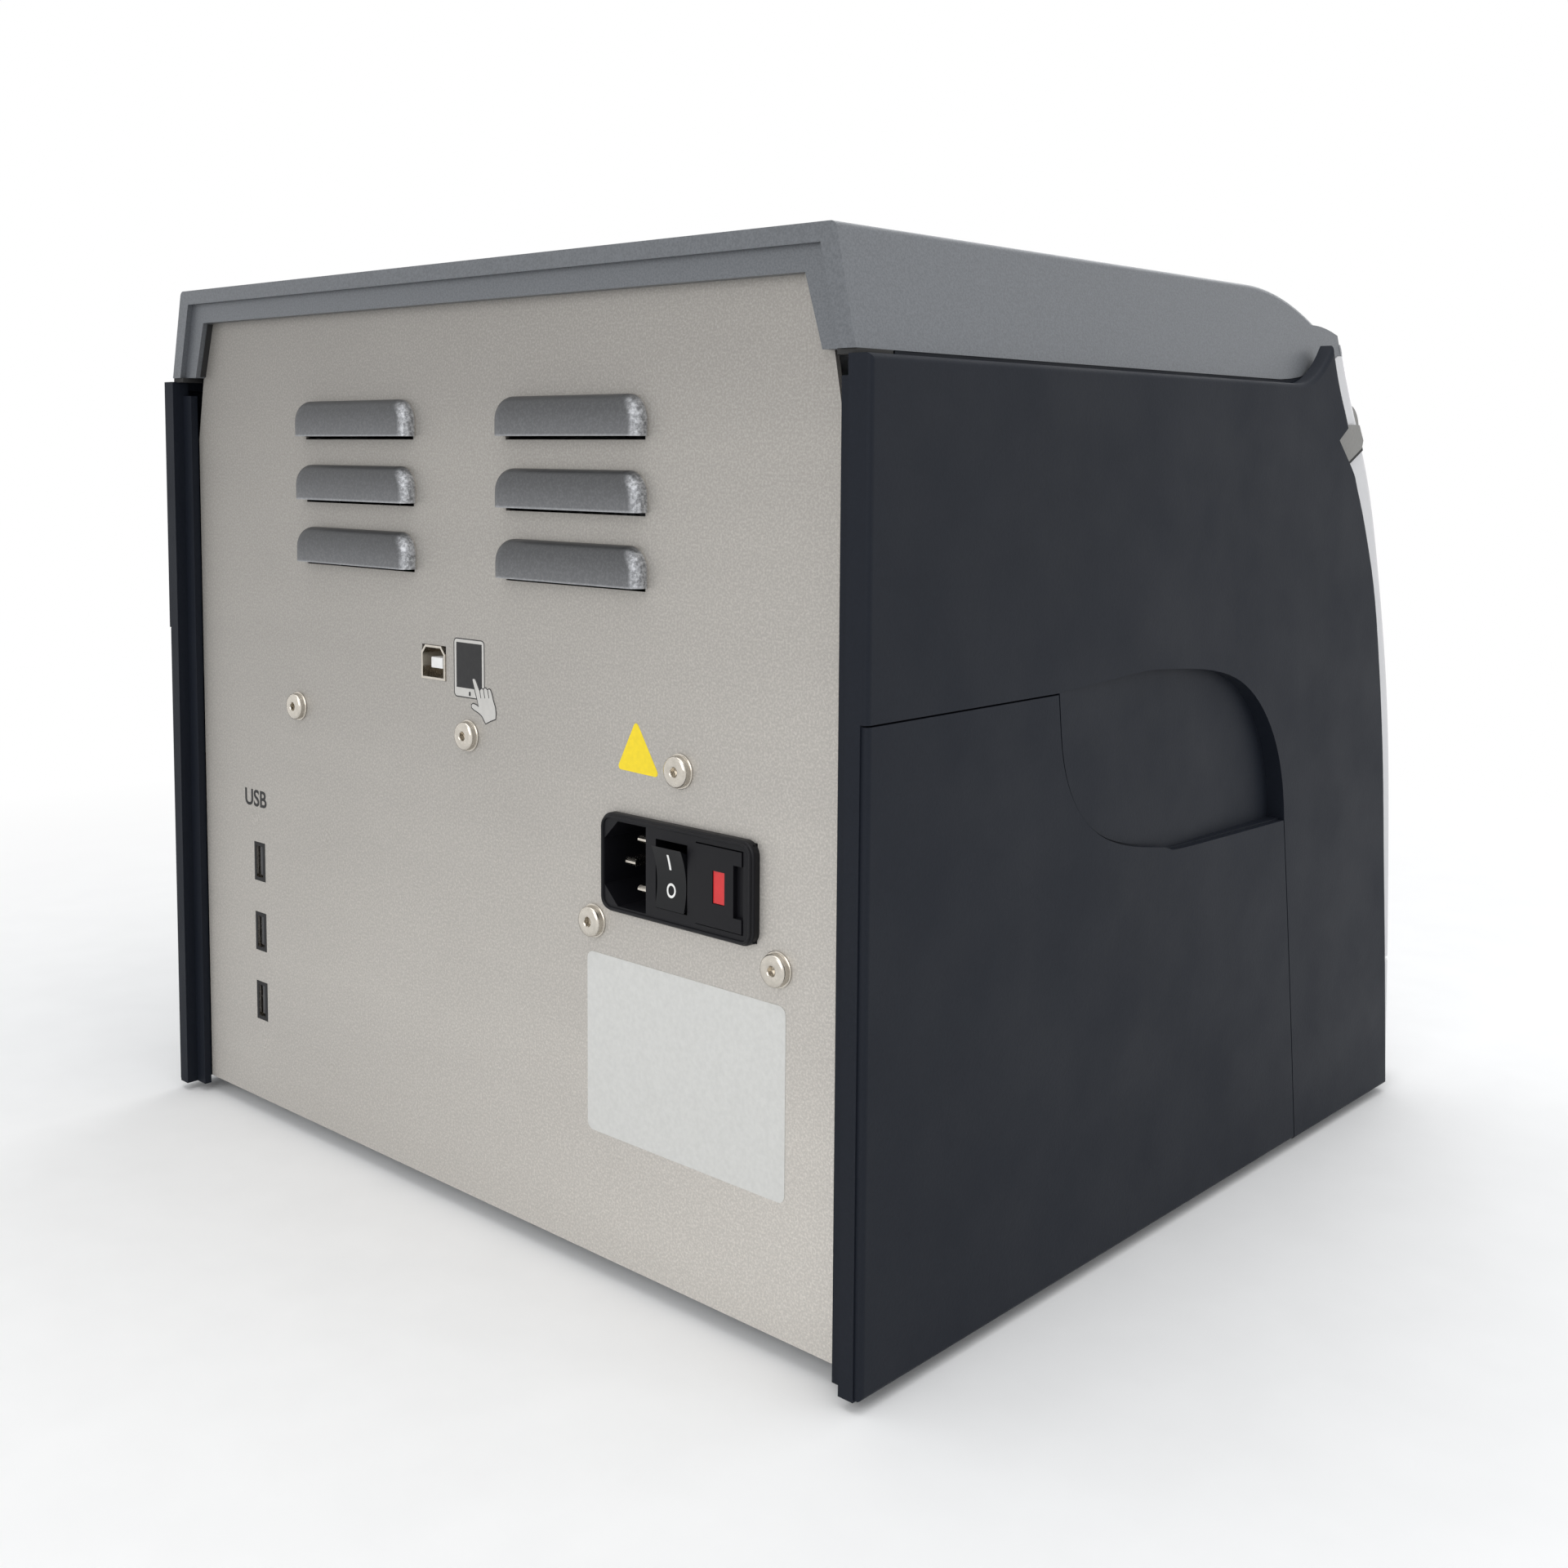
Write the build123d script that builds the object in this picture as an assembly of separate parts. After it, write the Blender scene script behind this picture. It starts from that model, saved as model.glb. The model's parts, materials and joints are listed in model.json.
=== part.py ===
"""Benchtop nucleic acid extractor: magnetic-rod instrument with a visor door and a sliding platform.

Millimetres. +Z up, -Y is the front, the origin is on the bench under the middle of the case.
"""
from build123d import *
import math
import os

# ---------------------------------------------------------------- driving dimensions
WIDTH = 330.0              # across the side panels
DEPTH = 332.0              # door bulge to the rear edge of the side panels
HEIGHT = 292.0             # bench to the top of the cover
HALF_W = WIDTH / 2
REAR_Y = DEPTH / 2
FRONT_Y = -DEPTH / 2

FOOT_H = 5.0               # rubber foot below the base plate
BASE_T = 2.0               # base plate sheet
BASE_HALF = 150.0
BASE_FRONT, BASE_REAR = -150.0, 157.9
SHEET_T = 2.0              # inner frames
FRAME_X = 146.0            # inner face of the side frames
PANEL_T = 3.0              # moulded side panels
PANEL_RIM = 5.3            # depth of the return around each side panel
PANEL_BOTTOM = 3.0
PANEL_TOP = 260.4

COVER_Z = 261.7            # lower edge of the top cover
COVER_HALF_BOTTOM = 159.5
COVER_HALF_TOP = 152.8
COVER_REAR_Y = 165.0
COVER_T = 2.6
NOSE_Y = -98.7              # front of the cover's nose at its ends

REAR_PLANE_Y = 159.4       # outer face of the rear sheet
REAR_T = 1.5
REAR_HALF_BOTTOM = 152.0
REAR_HALF_TOP = 144.4
REAR_BREAK_Z = 240.0
REAR_TOP_Z = 282.0

# front skin (brow, door and sill share one crowned surface), side outline as (y, z)
SKIN_EDGE = [(-99.5, 278.0), (-112.0, 253.5), (-123.6, 233.6), (-137.7, 195.0),
             (-149.6, 146.0), (-155.5, 93.0), (-158.6, 43.0), (-160.0, 6.0)]
SKIN_HALF = 158.0
SKIN_CROWN = 6.0           # the middle stands this much further forward
SKIN_T = 3.0
SKIN_DEPTH = 28.0          # how far the moulded returns reach back
SKIN_ROUND = 5.0
SEAM_Y, SEAM_Z = -119.6, 241.6
SEAM_GAP = 1.2
SEAM_CLEAR = 0.4
SEAM_TILT = 25.0           # the seam is cut square to the skin
SILL_TOP = 46.0
BROW_TOP = 275.3
DOOR_BOTTOM = 47.5

HINGE_Y, HINGE_Z = -107.0, 246.0
HINGE_PIN_R = 2.5
HINGE_BORE_R = 2.55
LUG_X = 156.9              # outer end of the lug and its pin
DOOR_OPEN_DEG = 72.0

PLATFORM_TRAVEL = 125.0
PLATFORM_Z = 50.0          # underside of the platform plate
PLATFORM_T = 5.0
CHANNELS = 16
PITCH = 15.6

ROD_HEAD_Z = 206.0         # underside of the rod head, raised
ROD_TRAVEL = 40.0
ROD_R = 2.5
ROD_LENGTH = 92.0
HEAD_Y = -45.0             # line of the magnetic rods
HEAD_T = 12.0
PLUNGER_Z = 150.0          # underside of the plunger bar, raised
PLUNGER_T = 8.0
PLUNGER_TRAVEL = 14.0
GUIDE_X = 134.0
GUIDE_R = 4.0
RUNNING = 0.05             # radial clearance of a running fit

INLET_X, INLET_Z = -94.9, 122.8
INLET_W, INLET_H = 58.7, 27.9
INLET_PROUD = 2.5

os.makedirs("parts", exist_ok=True)


# ---------------------------------------------------------------- helpers
def block(x0, x1, y0, y1, z0, z1):
    """A box between two corners."""
    size = (x1 - x0, y1 - y0, z1 - z0)
    centre = ((x0 + x1) / 2, (y0 + y1) / 2, (z0 + z1) / 2)
    return Pos(*centre) * Box(*size)


def rod_z(x, y, z0, z1, radius):
    """A cylinder along Z."""
    return Pos(x, y, (z0 + z1) / 2) * Cylinder(radius, z1 - z0)


def rod_y(x, z, y0, y1, radius):
    """A cylinder along Y."""
    return Pos(x, (y0 + y1) / 2, z) * Rot(90, 0, 0) * Cylinder(radius, y1 - y0)


def rod_x(y, z, x0, x1, radius):
    """A cylinder along X."""
    return Pos((x0 + x1) / 2, y, z) * Rot(0, 90, 0) * Cylinder(radius, x1 - x0)


def grown(outline, amount):
    """A face from a closed outline, offset evenly; curved edges are drawn again as plain splines."""
    face = make_face(outline)
    if not amount:
        return face
    edges = []
    for edge in offset(face, amount).face().outer_wire().edges():
        if edge.geom_type in (GeomType.LINE, GeomType.CIRCLE):
            edges.append(edge)
        else:
            points = [edge @ (i / 16) for i in range(17)]
            edges.append(Spline(*points, tangents=[edge % 0, edge % 1]))
    return make_face(edges)


def side_prism(outline, x0, x1, grow=0.0):
    """A plate across X from a closed outline in (y, z), grown or shrunk by an even offset."""
    return Pos(x0, 0, 0) * extrude(Plane.YZ * grown(outline, grow), x1 - x0)


def rear_prism(outline, y0, y1, grow=0.0):
    """A plate across Y from a closed outline in (x, z), grown or shrunk by an even offset."""
    return Pos(0, y0, 0) * extrude(Plane.XZ * grown(outline, grow), -(y1 - y0))


def mirrored(shape):
    """The same piece on the other side of the instrument."""
    return mirror(shape, about=Plane.YZ)


def group(solids):
    """Separate solids that share one node."""
    return Compound(children=list(solids))


def save(shape, name):
    export_step(shape, f"parts/{name}.step")


# ---------------------------------------------------------------- case: base and feet
def base_plate():
    tray = block(-BASE_HALF, BASE_HALF, BASE_FRONT, BASE_REAR, FOOT_H, FOOT_H + 16)
    hollow = block(-BASE_HALF + BASE_T, BASE_HALF - BASE_T, BASE_FRONT + BASE_T, BASE_REAR - BASE_T,
                   FOOT_H + BASE_T, FOOT_H + 20)
    plate = tray - hollow
    for row in range(5):
        slot = Pos(60, 60 + 12 * row, FOOT_H) * extrude(SlotOverall(70, 4), 3 * BASE_T, both=True)
        plate -= slot
    return plate


def foot_places():
    return [(x, y) for x in (-120, 120) for y in (-95, 125)]


def rubber_feet():
    side = Polyline((0, 0), (9.0, 0), (11.0, FOOT_H), (0, FOOT_H), close=True)
    foot = revolve(Plane.XZ * make_face(side), Axis.Z)
    foot -= rod_z(0, 0, -1, 2.5, 4.0)
    return group(Pos(x, y, 0) * foot for x, y in foot_places())


# ---------------------------------------------------------------- case: moulded side panels
def panel_outline():
    """Side view of a panel: straight rear, curved front edge, swept top corner."""
    rear = REAR_Y
    top_start = (-52.0, PANEL_TOP)
    nose = (-77.8, 273.8)
    front = [(-80.5, 266.6), (-85.3, 257.1), (-90.9, 247.6), (-97.9, 230.0), (-103.7, 219.5),
             (-109.3, 207.9), (-114.3, 196.2), (-122.3, 166.5), (-128.8, 130.1), (-132.9, 93.4),
             (-137.0, 55.7), (-140.4, 20.0), (-141.9, PANEL_BOTTOM)]
    lines = [Line((rear, PANEL_BOTTOM), (rear, PANEL_TOP)), Line((rear, PANEL_TOP), top_start)]
    lines.append(Spline(top_start, (-62.0, 261.7), (-69.5, 265.6), nose, tangents=[(-1, 0), (-0.62, 0.78)]))
    lines.append(Spline(nose, *front))
    lines.append(Line(front[-1], (rear, PANEL_BOTTOM)))
    return Curve() + lines


GROOVE_Z = 172.0
SCOOP_TOP_REAR = (83.8, GROOVE_Z)
SCOOP_FRONT_BOTTOM = (-51.5, 117.0)


def scoop_lower_edge():
    """The edge that the finger scoop shares with the lower insert, rear to front."""
    return Spline(SCOOP_TOP_REAR, (80.2, 151.0), (61.9, 129.9), (27.9, 120.8), SCOOP_FRONT_BOTTOM,
                  tangents=[(-0.15, -1), (-1, -0.02)])


def scoop_upper_edge():
    """The edge that the finger scoop shares with the main panel, front to rear."""
    return Spline(SCOOP_FRONT_BOTTOM, (-48.8, 131.7), (-40.2, 148.9), (-25.5, 162.4), (-1.4, 170.8),
                  (25.7, 173.6), SCOOP_TOP_REAR, tangents=[(0.1, 1), (1, -0.05)])


def scoop_outline():
    return Curve() + [scoop_lower_edge(), scoop_upper_edge()]


def insert_outline():
    """Lower rear insert: below the groove and the scoop, behind the slanted seam."""
    seam_mid = (-59.5, 60.5)
    seam_low = (-66.8, PANEL_BOTTOM)
    rear = REAR_Y
    lines = [Line((rear, PANEL_BOTTOM), (rear, GROOVE_Z)), Line((rear, GROOVE_Z), SCOOP_TOP_REAR)]
    lines.append(scoop_lower_edge())
    lines.append(Spline(SCOOP_FRONT_BOTTOM, seam_mid, seam_low))
    lines.append(Line(seam_low, (rear, PANEL_BOTTOM)))
    return Curve() + lines


SCOOP_DEPTH = 6.0
INSERT_GAP = 0.5
INSERT_T = 2.2
EDGE_R = 1.6
PANEL_BOSSES = [(130.0, 225.0), (-45.0, 225.0), (-88.0, 60.0)]
INSERT_BOSSES = [(125.0, 40.0), (125.0, 140.0), (0.0, 60.0)]


def panel_boss(y, z, x1):
    """Moulded boss that spaces a panel off the side frame."""
    return rod_x(y, z, FRAME_X + SHEET_T, x1, 5.0) - rod_x(y, z, FRAME_X, FRAME_X + 9.0, 2.0)


def scoop_cut():
    """Hollow with a floor that is flush at its rear edge and deepest at the front."""
    pocket = side_prism(scoop_outline(), HALF_W - 20, HALF_W + 5)
    tilt = math.degrees(math.atan2(SCOOP_DEPTH, SCOOP_TOP_REAR[0] - SCOOP_FRONT_BOTTOM[0]))
    floor = Pos(HALF_W, SCOOP_TOP_REAR[0], GROOVE_Z) * Rot(0, 0, -tilt) * Box(
        40, 400, 400, align=(Align.MIN, Align.CENTER, Align.CENTER))
    return pocket & floor


def hinge_notch():
    outline = Polyline((-104.0, 247.6), (-91.4, 247.2), (-83.6, 242.2), (-93.4, 233.2), (-99.0, 227.4),
                       (-104.0, 227.4), close=True)
    return side_prism(outline, HALF_W - 20, HALF_W + 5)


def cover_seat():
    """Tongue along the panel's top return; the cover rests on it and it closes the shadow gap."""
    low = PANEL_TOP - 4.0
    rise = [(-30.0, COVER_Z), (-46.0, 261.5), (-54.0, 261.7), (-62.0, 262.4), (-72.0, 264.0)]
    outline = Polyline((150.0, low), (150.0, COVER_Z), *rise, (-72.0, low), close=True)
    return side_prism(outline, 157.7, 159.2) + block(157.7, 160.0, -48.0, 150.0, low, PANEL_TOP - 1.0)


def side_panel():
    """Main moulding: 3 mm wall, returns along its edges, scoop floor, bosses and rear flange."""
    inner_x = HALF_W - PANEL_T
    slab = side_prism(panel_outline(), HALF_W - PANEL_RIM, HALF_W)
    rim = [e for e in slab.edges() if abs(e.center().X - HALF_W) < 0.01 and e.length > 20]
    slab = fillet(rim, EDGE_R)
    slab -= side_prism(panel_outline(), HALF_W - PANEL_RIM - 1, inner_x, grow=-PANEL_T)
    lip = block(152.6, inner_x, REAR_PLANE_Y + 0.1, REAR_Y - 4.0, PANEL_BOTTOM, PANEL_TOP - 5)
    flange = block(158.0, HALF_W - 2.0, REAR_Y - 6.0, REAR_Y, PANEL_BOTTOM, PANEL_TOP)
    scoop_back = side_prism(scoop_outline(), HALF_W - 9.5, inner_x + 0.5, grow=3.0)
    panel = slab + lip + flange + scoop_back + cover_seat()
    panel -= side_prism(insert_outline(), HALF_W - INSERT_T, HALF_W + 10)
    keep = block(150.0, HALF_W - INSERT_T, REAR_Y - 7.0, REAR_Y, PANEL_BOTTOM, PANEL_TOP)
    panel -= side_prism(insert_outline(), HALF_W - 20, HALF_W + 10, grow=-4.0) - keep
    panel -= scoop_cut()
    panel -= hinge_notch()
    for y, z in PANEL_BOSSES:
        panel += panel_boss(y, z, inner_x + 0.5)
    return panel


def side_insert():
    """Lower insert plate that sits in the panel's bed with an even shadow gap."""
    back_x = HALF_W - INSERT_T
    plate = side_prism(insert_outline(), back_x, HALF_W, grow=-INSERT_GAP)
    outer = [e for e in plate.edges() if abs(e.center().X - HALF_W) < 0.01
             and (e.center().Y > REAR_Y - 1 or e.center().Z < PANEL_BOTTOM + 1)]
    plate = fillet(outer, EDGE_R - 0.2)
    ribs = side_prism(insert_outline(), back_x - 2.0, back_x, grow=-8.0)
    ribs -= side_prism(insert_outline(), back_x - 3.0, back_x, grow=-10.0)
    insert = plate + ribs
    for y, z in INSERT_BOSSES:
        insert += panel_boss(y, z, back_x + 0.5)
    return insert


# ---------------------------------------------------------------- case: top cover
def cover_profile(drop):
    """Side view of the cover, offset inwards by drop: flat top, rounded nose with a lip, swept lower edge."""
    top = HEIGHT - drop
    rear = COVER_REAR_Y - drop
    lip = (-83.3, 281.1 - drop)
    tip = (-112.0, 272.2 - drop)
    low = COVER_Z - (0 if drop == 0 else 20)
    lines = [Line((rear, low), (rear, top)), Line((rear, top), (-40.0, top))]
    lines.append(TangentArc((-40.0, top), lip, tangent=(-1, 0)))
    lines.append(ThreePointArc(lip, (-96.0, 279.3 - drop), tip))
    if drop == 0:
        lines.append(Line(tip, (-112.0, 271.4)))
        lines.append(Line((-112.0, 271.4), (-96.0, 271.4)))
        lines.append(ThreePointArc((-96.0, 271.4), (-70.0, 263.9), (-40.0, low)))
        lines.append(Line((-40.0, low), (rear, low)))
    else:
        lines.append(Line(tip, (-112.0, low)))
        lines.append(Line((-112.0, low), (rear, low)))
    return Curve() + lines


def cover_section(inset, y0, y1):
    """Rear view of the cover: a trapezium with leaning sides."""
    lean = (COVER_HALF_BOTTOM - COVER_HALF_TOP) / (HEIGHT - COVER_Z)
    low = COVER_Z - (0 if inset == 0 else 30)
    bottom = COVER_HALF_BOTTOM + lean * (COVER_Z - low) - inset
    top = COVER_HALF_TOP - inset + lean * inset
    outline = Polyline((-bottom, low), (bottom, low), (top, HEIGHT - inset), (-top, HEIGHT - inset), close=True)
    return rear_prism(outline, y0, y1)


def plan_crown(y_edge):
    """Everything behind a crowned front line that is y_edge at the sides."""
    arc = ThreePointArc((-SKIN_HALF, y_edge), (0, y_edge - SKIN_CROWN), (SKIN_HALF, y_edge))
    back = Polyline((SKIN_HALF, y_edge), (SKIN_HALF + 20, y_edge), (SKIN_HALF + 20, 220), (-SKIN_HALF - 20, 220),
                    (-SKIN_HALF - 20, y_edge), (-SKIN_HALF, y_edge))
    return Pos(0, 0, -10) * extrude(make_face(Curve() + [arc, back]), HEIGHT + 40)


COVER_RIM = 4.8            # outer frame of the rear face
COVER_STEP = 2.0
COVER_INNER_RIM = 6.6
COVER_EDGE_R = 2.0


def rear_window(inset):
    """Opening of the cover's rear face, inset from its outline."""
    lean = (COVER_HALF_BOTTOM - COVER_HALF_TOP) / (HEIGHT - COVER_Z)
    low = COVER_Z - 10
    bottom = COVER_HALF_BOTTOM + lean * 10 - inset
    top = COVER_HALF_TOP - inset
    return Polyline((-bottom, low), (bottom, low), (top, HEIGHT - inset), (-top, HEIGHT - inset), close=True)


def top_cover():
    """Shell with leaning sides, rounded top edges, a crowned nose and a stepped rear face."""
    outer = side_prism(cover_profile(0), -200, 200) & cover_section(0, -130, COVER_REAR_Y)
    sides = [e for e in outer.edges() if e.center().Z > 279 and abs(e.center().X) > 140
             and abs(e.tangent_at(0.5).X) < 0.5]
    outer = fillet(sides, COVER_EDGE_R) & plan_crown(NOSE_Y)
    inner = side_prism(cover_profile(COVER_T), -200, 200) & cover_section(COVER_T, -130, COVER_REAR_Y - 10.0)
    inner = inner & plan_crown(NOSE_Y + COVER_T)
    cover = outer - inner
    step = rear_prism(rear_window(COVER_RIM), COVER_REAR_Y - COVER_STEP, COVER_REAR_Y + 5)
    hole = rear_prism(rear_window(COVER_RIM + COVER_INNER_RIM), COVER_REAR_Y - 20, COVER_REAR_Y + 5)
    seat = rear_prism(rear_window(COVER_RIM + 2.0), REAR_PLANE_Y - 20, REAR_PLANE_Y + 0.1)
    return cover - step - hole - seat


# ---------------------------------------------------------------- case: rear sheet
LOUVRE_COLUMNS = (53.4, -51.3)
LOUVRE_ROWS = (241.0, 220.3, 199.8)     # lower edges
LOUVRE_W, LOUVRE_H, LOUVRE_PROUD = 62.0, 11.4, 5.0
REAR_SCREWS = [(90.0, 150.0), (-3.0, 150.5), (-94.8, 151.3), (-60.0, 104.0), (-130.8, 104.4)]
REAR_STUDS = [(74.6, 107.2), (73.3, 27.3), (119.0, 107.0), (115.7, 27.2)]
USB_A_X = 116.6
USB_A_ROWS = (91.9, 66.8, 41.8)
USB_A_W, USB_A_H = 5.6, 12.6
USB_B_X, USB_B_Z = 14.1, 171.4
USB_B_W, USB_B_H = 12.2, 10.8


def inlet_cutout(gap, y0, y1):
    """Block that fills the inlet's hole in the sheet, grown by gap."""
    half_w = INLET_W / 2 - 1.0 + gap
    half_h = INLET_H / 2 - 0.85 + gap
    return block(INLET_X - half_w, INLET_X + half_w, y0, y1, INLET_Z - half_h, INLET_Z + half_h)


def louvre_shell(width, height, proud, bend):
    """Pillow-shaped pressing that stands out of the sheet and is open below."""
    pod = Box(width, proud + 4, height, align=(Align.CENTER, Align.MAX, Align.MIN))
    pod = Pos(0, proud, 0) * pod
    face = pod.faces().sort_by(Axis.Y)[-1]
    edges = [e for e in face.edges() if e.center().Z > 0.5]
    sides = [e for e in pod.edges().filter_by(Axis.Y) if e.center().Z > height - 0.5]
    pod = fillet(sides, bend * 1.9)
    face = pod.faces().sort_by(Axis.Y)[-1]
    edges = [e for e in face.edges() if e.center().Z > 0.5]
    return fillet(edges, bend)


def louvre(x, z):
    outer = louvre_shell(LOUVRE_W, LOUVRE_H, LOUVRE_PROUD, 3.6)
    inner = Pos(0, 0, -1.0) * louvre_shell(LOUVRE_W - 2.4, LOUVRE_H - 0.2, LOUVRE_PROUD - 1.2, 2.6)
    place = Pos(x, REAR_PLANE_Y, z)
    front = block(-200, 200, REAR_PLANE_Y - REAR_T, 200, 0, HEIGHT)
    return place * outer & front, place * inner


def rear_panel():
    outline = Polyline((-REAR_HALF_BOTTOM, 6), (REAR_HALF_BOTTOM, 6), (REAR_HALF_BOTTOM, REAR_BREAK_Z),
                       (REAR_HALF_TOP, REAR_TOP_Z), (-REAR_HALF_TOP, REAR_TOP_Z),
                       (-REAR_HALF_BOTTOM, REAR_BREAK_Z), close=True)
    sheet = rear_prism(outline, REAR_PLANE_Y - REAR_T, REAR_PLANE_Y)
    for x in LOUVRE_COLUMNS:
        for z in LOUVRE_ROWS:
            outer, inner = louvre(x, z)
            sheet = sheet + outer - inner
    for z in USB_A_ROWS:
        sheet -= block(USB_A_X - USB_A_W / 2, USB_A_X + USB_A_W / 2, 150, 170, z - USB_A_H / 2, z + USB_A_H / 2)
    sheet -= block(USB_B_X - USB_B_W / 2, USB_B_X + USB_B_W / 2, 150, 170,
                   USB_B_Z - USB_B_H / 2, USB_B_Z + USB_B_H / 2)
    sheet -= inlet_cutout(0.2, 150, 170)
    for x, z in REAR_SCREWS:
        sheet -= rod_y(x, z, 150, 170, 2.2)
    return sheet


def rear_screws():
    """Button-head screws with hexagon sockets."""
    def screw(x, z):
        head = revolve(Plane.XY * make_face(Curve() + [
            Line((0, 0), (4.6, 0)), Line((4.6, 0), (4.6, 0.8)),
            ThreePointArc((4.6, 0.8), (3.4, 2.2), (1.8, 2.8)), Line((1.8, 2.8), (0, 2.8)),
            Line((0, 2.8), (0, 0))]), Axis.Y)
        socket = Pos(0, 1.4, 0) * extrude(Plane.XZ * RegularPolygon(1.6, 6), -4)
        shank = rod_y(0, 0, -8, 0, 2.0)
        return Pos(x, REAR_PLANE_Y, z) * (head + shank - socket)
    return group(screw(x, z) for x, z in REAR_SCREWS)


def press_studs():
    """Flush studs pressed into the sheet from behind to carry the boards."""
    return group(rod_y(x, z, REAR_PLANE_Y - 9, REAR_PLANE_Y - REAR_T, 2.5) for x, z in REAR_STUDS)


# ---------------------------------------------------------------- front skin: brow, door, sill
def skin_section(x, crown, shift, depth):
    """Closed strip in the plane X = x between the skin line and a copy set back by depth."""
    line = [(y - crown + shift, z) for y, z in SKIN_EDGE]
    front = Spline(*line)
    back = Spline(*[(y + depth, z) for y, z in line])
    ends = [Line(front @ 1, back @ 1), Line(back @ 0, front @ 0)]
    return Pos(x, 0, 0) * (Plane.YZ * make_face(Curve() + [front, back] + ends))


def skin_body():
    """Crowned, hollow moulding that the brow, the door and the sill are cut from."""
    outer = loft([skin_section(-SKIN_HALF, 0, 0, SKIN_DEPTH),
                  skin_section(0, SKIN_CROWN, 0, SKIN_DEPTH + SKIN_CROWN),
                  skin_section(SKIN_HALF, 0, 0, SKIN_DEPTH)])
    inner_half = SKIN_HALF - SKIN_T
    inner = loft([skin_section(-inner_half, 0, SKIN_T, 60), skin_section(0, SKIN_CROWN, SKIN_T, 66),
                  skin_section(inner_half, 0, SKIN_T, 60)])
    corner = [e for e in outer.edges() if abs(abs(e.center().X) - SKIN_HALF) < 0.1
              and e.length > 200 and e.center().Y < -130]
    outer = fillet(corner, SKIN_ROUND)
    return outer - inner


def below_seam(gap):
    """Half space under the tilted door seam, lowered by gap."""
    box = Box(400, 200, 300, align=(Align.CENTER, Align.CENTER, Align.MAX))
    return Pos(0, SEAM_Y, SEAM_Z) * Rot(-SEAM_TILT, 0, 0) * Pos(0, 0, -gap) * box


def front_brow(skin):
    """Fixed strip above the door, notched at both ends for the hinge lugs."""
    brow = skin - below_seam(0) - block(-200, 200, -200, 0, BROW_TOP, 300)
    brow -= Pos(0, 0, -0.15) * (side_prism(cover_profile(0), -200, 200) & plan_crown(NOSE_Y - 0.2))
    for side in (-1, 1):
        notch = rod_x(HINGE_Y, HINGE_Z, 150.3, LUG_X + 0.3, 10.6)
        cut = notch + block(150.3, 162.3, HINGE_Y - 30, HINGE_Y + 30, HINGE_Z - 40, HINGE_Z + 1.4)
        tab = block(FRAME_X + SHEET_T, SKIN_HALF - SKIN_T + 0.5, -100, -88, 258.5, 264.5)
        brow -= cut if side > 0 else mirrored(cut)
        brow += tab if side > 0 else mirrored(tab)
    return brow


def seam_relief():
    """Barrel about the hinge line; it rolls the door's inner top edge clear of the brow's lower lip."""
    half = 150.3
    mid_r = math.hypot(17.3, 2.2) + SEAM_CLEAR
    end_r = math.hypot(13.05, 4.2) + SEAM_CLEAR
    arc = ThreePointArc((-half, end_r), (0, mid_r), (half, end_r))
    close = Polyline((half, end_r), (half, 0), (-half, 0), (-half, end_r))
    return Pos(0, HINGE_Y, HINGE_Z) * revolve(make_face(Curve() + [arc, close]), Axis.X)


def door_shell(skin):
    door = (skin & below_seam(SEAM_GAP)) - block(-200, 200, -250, 0, 0, DOOR_BOTTOM)
    return door - seam_relief()


def front_sill(skin):
    """Fixed strip under the door, with ribs back to the base plate."""
    sill = skin & block(-200, 200, -250, 0, 6.0, SILL_TOP)
    for x, front in ((-110, -161.5), (0, -164.5), (110, -161.5)):
        sill += block(x - 3, x + 3, front, BASE_FRONT, 8.0, 20.0)
    return sill


def door_liner():
    """Inner skin of the door: a thin crowned sheet set 0.1 mm off the shell, with stiffening ribs."""
    half = SKIN_HALF - SKIN_T - 4.5
    sheet = loft([skin_section(-half, 0.2, SKIN_T + 0.3, 2.0), skin_section(0, SKIN_CROWN, SKIN_T + 0.3, 2.0),
                  skin_section(half, 0.2, SKIN_T + 0.3, 2.0)])
    ribs = [block(x - 1, x + 1, -200, 0, 60, 215) for x in range(-120, 121, 40)]
    band = loft([skin_section(-half, 0.2, SKIN_T + 1.3, 5.0), skin_section(0, SKIN_CROWN, SKIN_T + 1.3, 5.0),
                 skin_section(half, 0.2, SKIN_T + 1.3, 5.0)])
    for rib in ribs:
        sheet += band & rib
    return sheet & block(-half, half, -250, 0, DOOR_BOTTOM + 3, 226)


def hinge_cheek():
    """Lug that carries the door on its pin, with a leg along the inside of the door's end wall."""
    lug = rod_x(HINGE_Y, HINGE_Z, 150.6, LUG_X, 9.0)
    leg = Polyline((HINGE_Y - 7.5, HINGE_Z - 2), (HINGE_Y + 8.0, HINGE_Z - 4), (-111.0, 206.0), (-127.0, 200.0),
                   (-121.0, 226.0), close=True)
    cheek = lug + side_prism(leg, 150.6, SKIN_HALF - SKIN_T)
    return cheek - rod_x(HINGE_Y, HINGE_Z, 140, 170, HINGE_BORE_R)


def hinge_pin():
    return rod_x(HINGE_Y, HINGE_Z, FRAME_X - 2.0, LUG_X, HINGE_PIN_R)


def hinge_cap():
    """Grey cap between the brow's end and the side panel that hides the lug from the side."""
    outline = Polyline((-84.5, 247.8), (-112.0, 247.8), (-115.6, 242.4), (-114.6, 239.7), (-93.0, 229.6),
                       (-84.5, 238.0), close=True)
    tab = block(SKIN_HALF, SKIN_HALF + 0.5, -91, -86, 245.0, 251.5)
    return side_prism(outline, SKIN_HALF + 0.2, SKIN_HALF + 1.0) + tab


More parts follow.
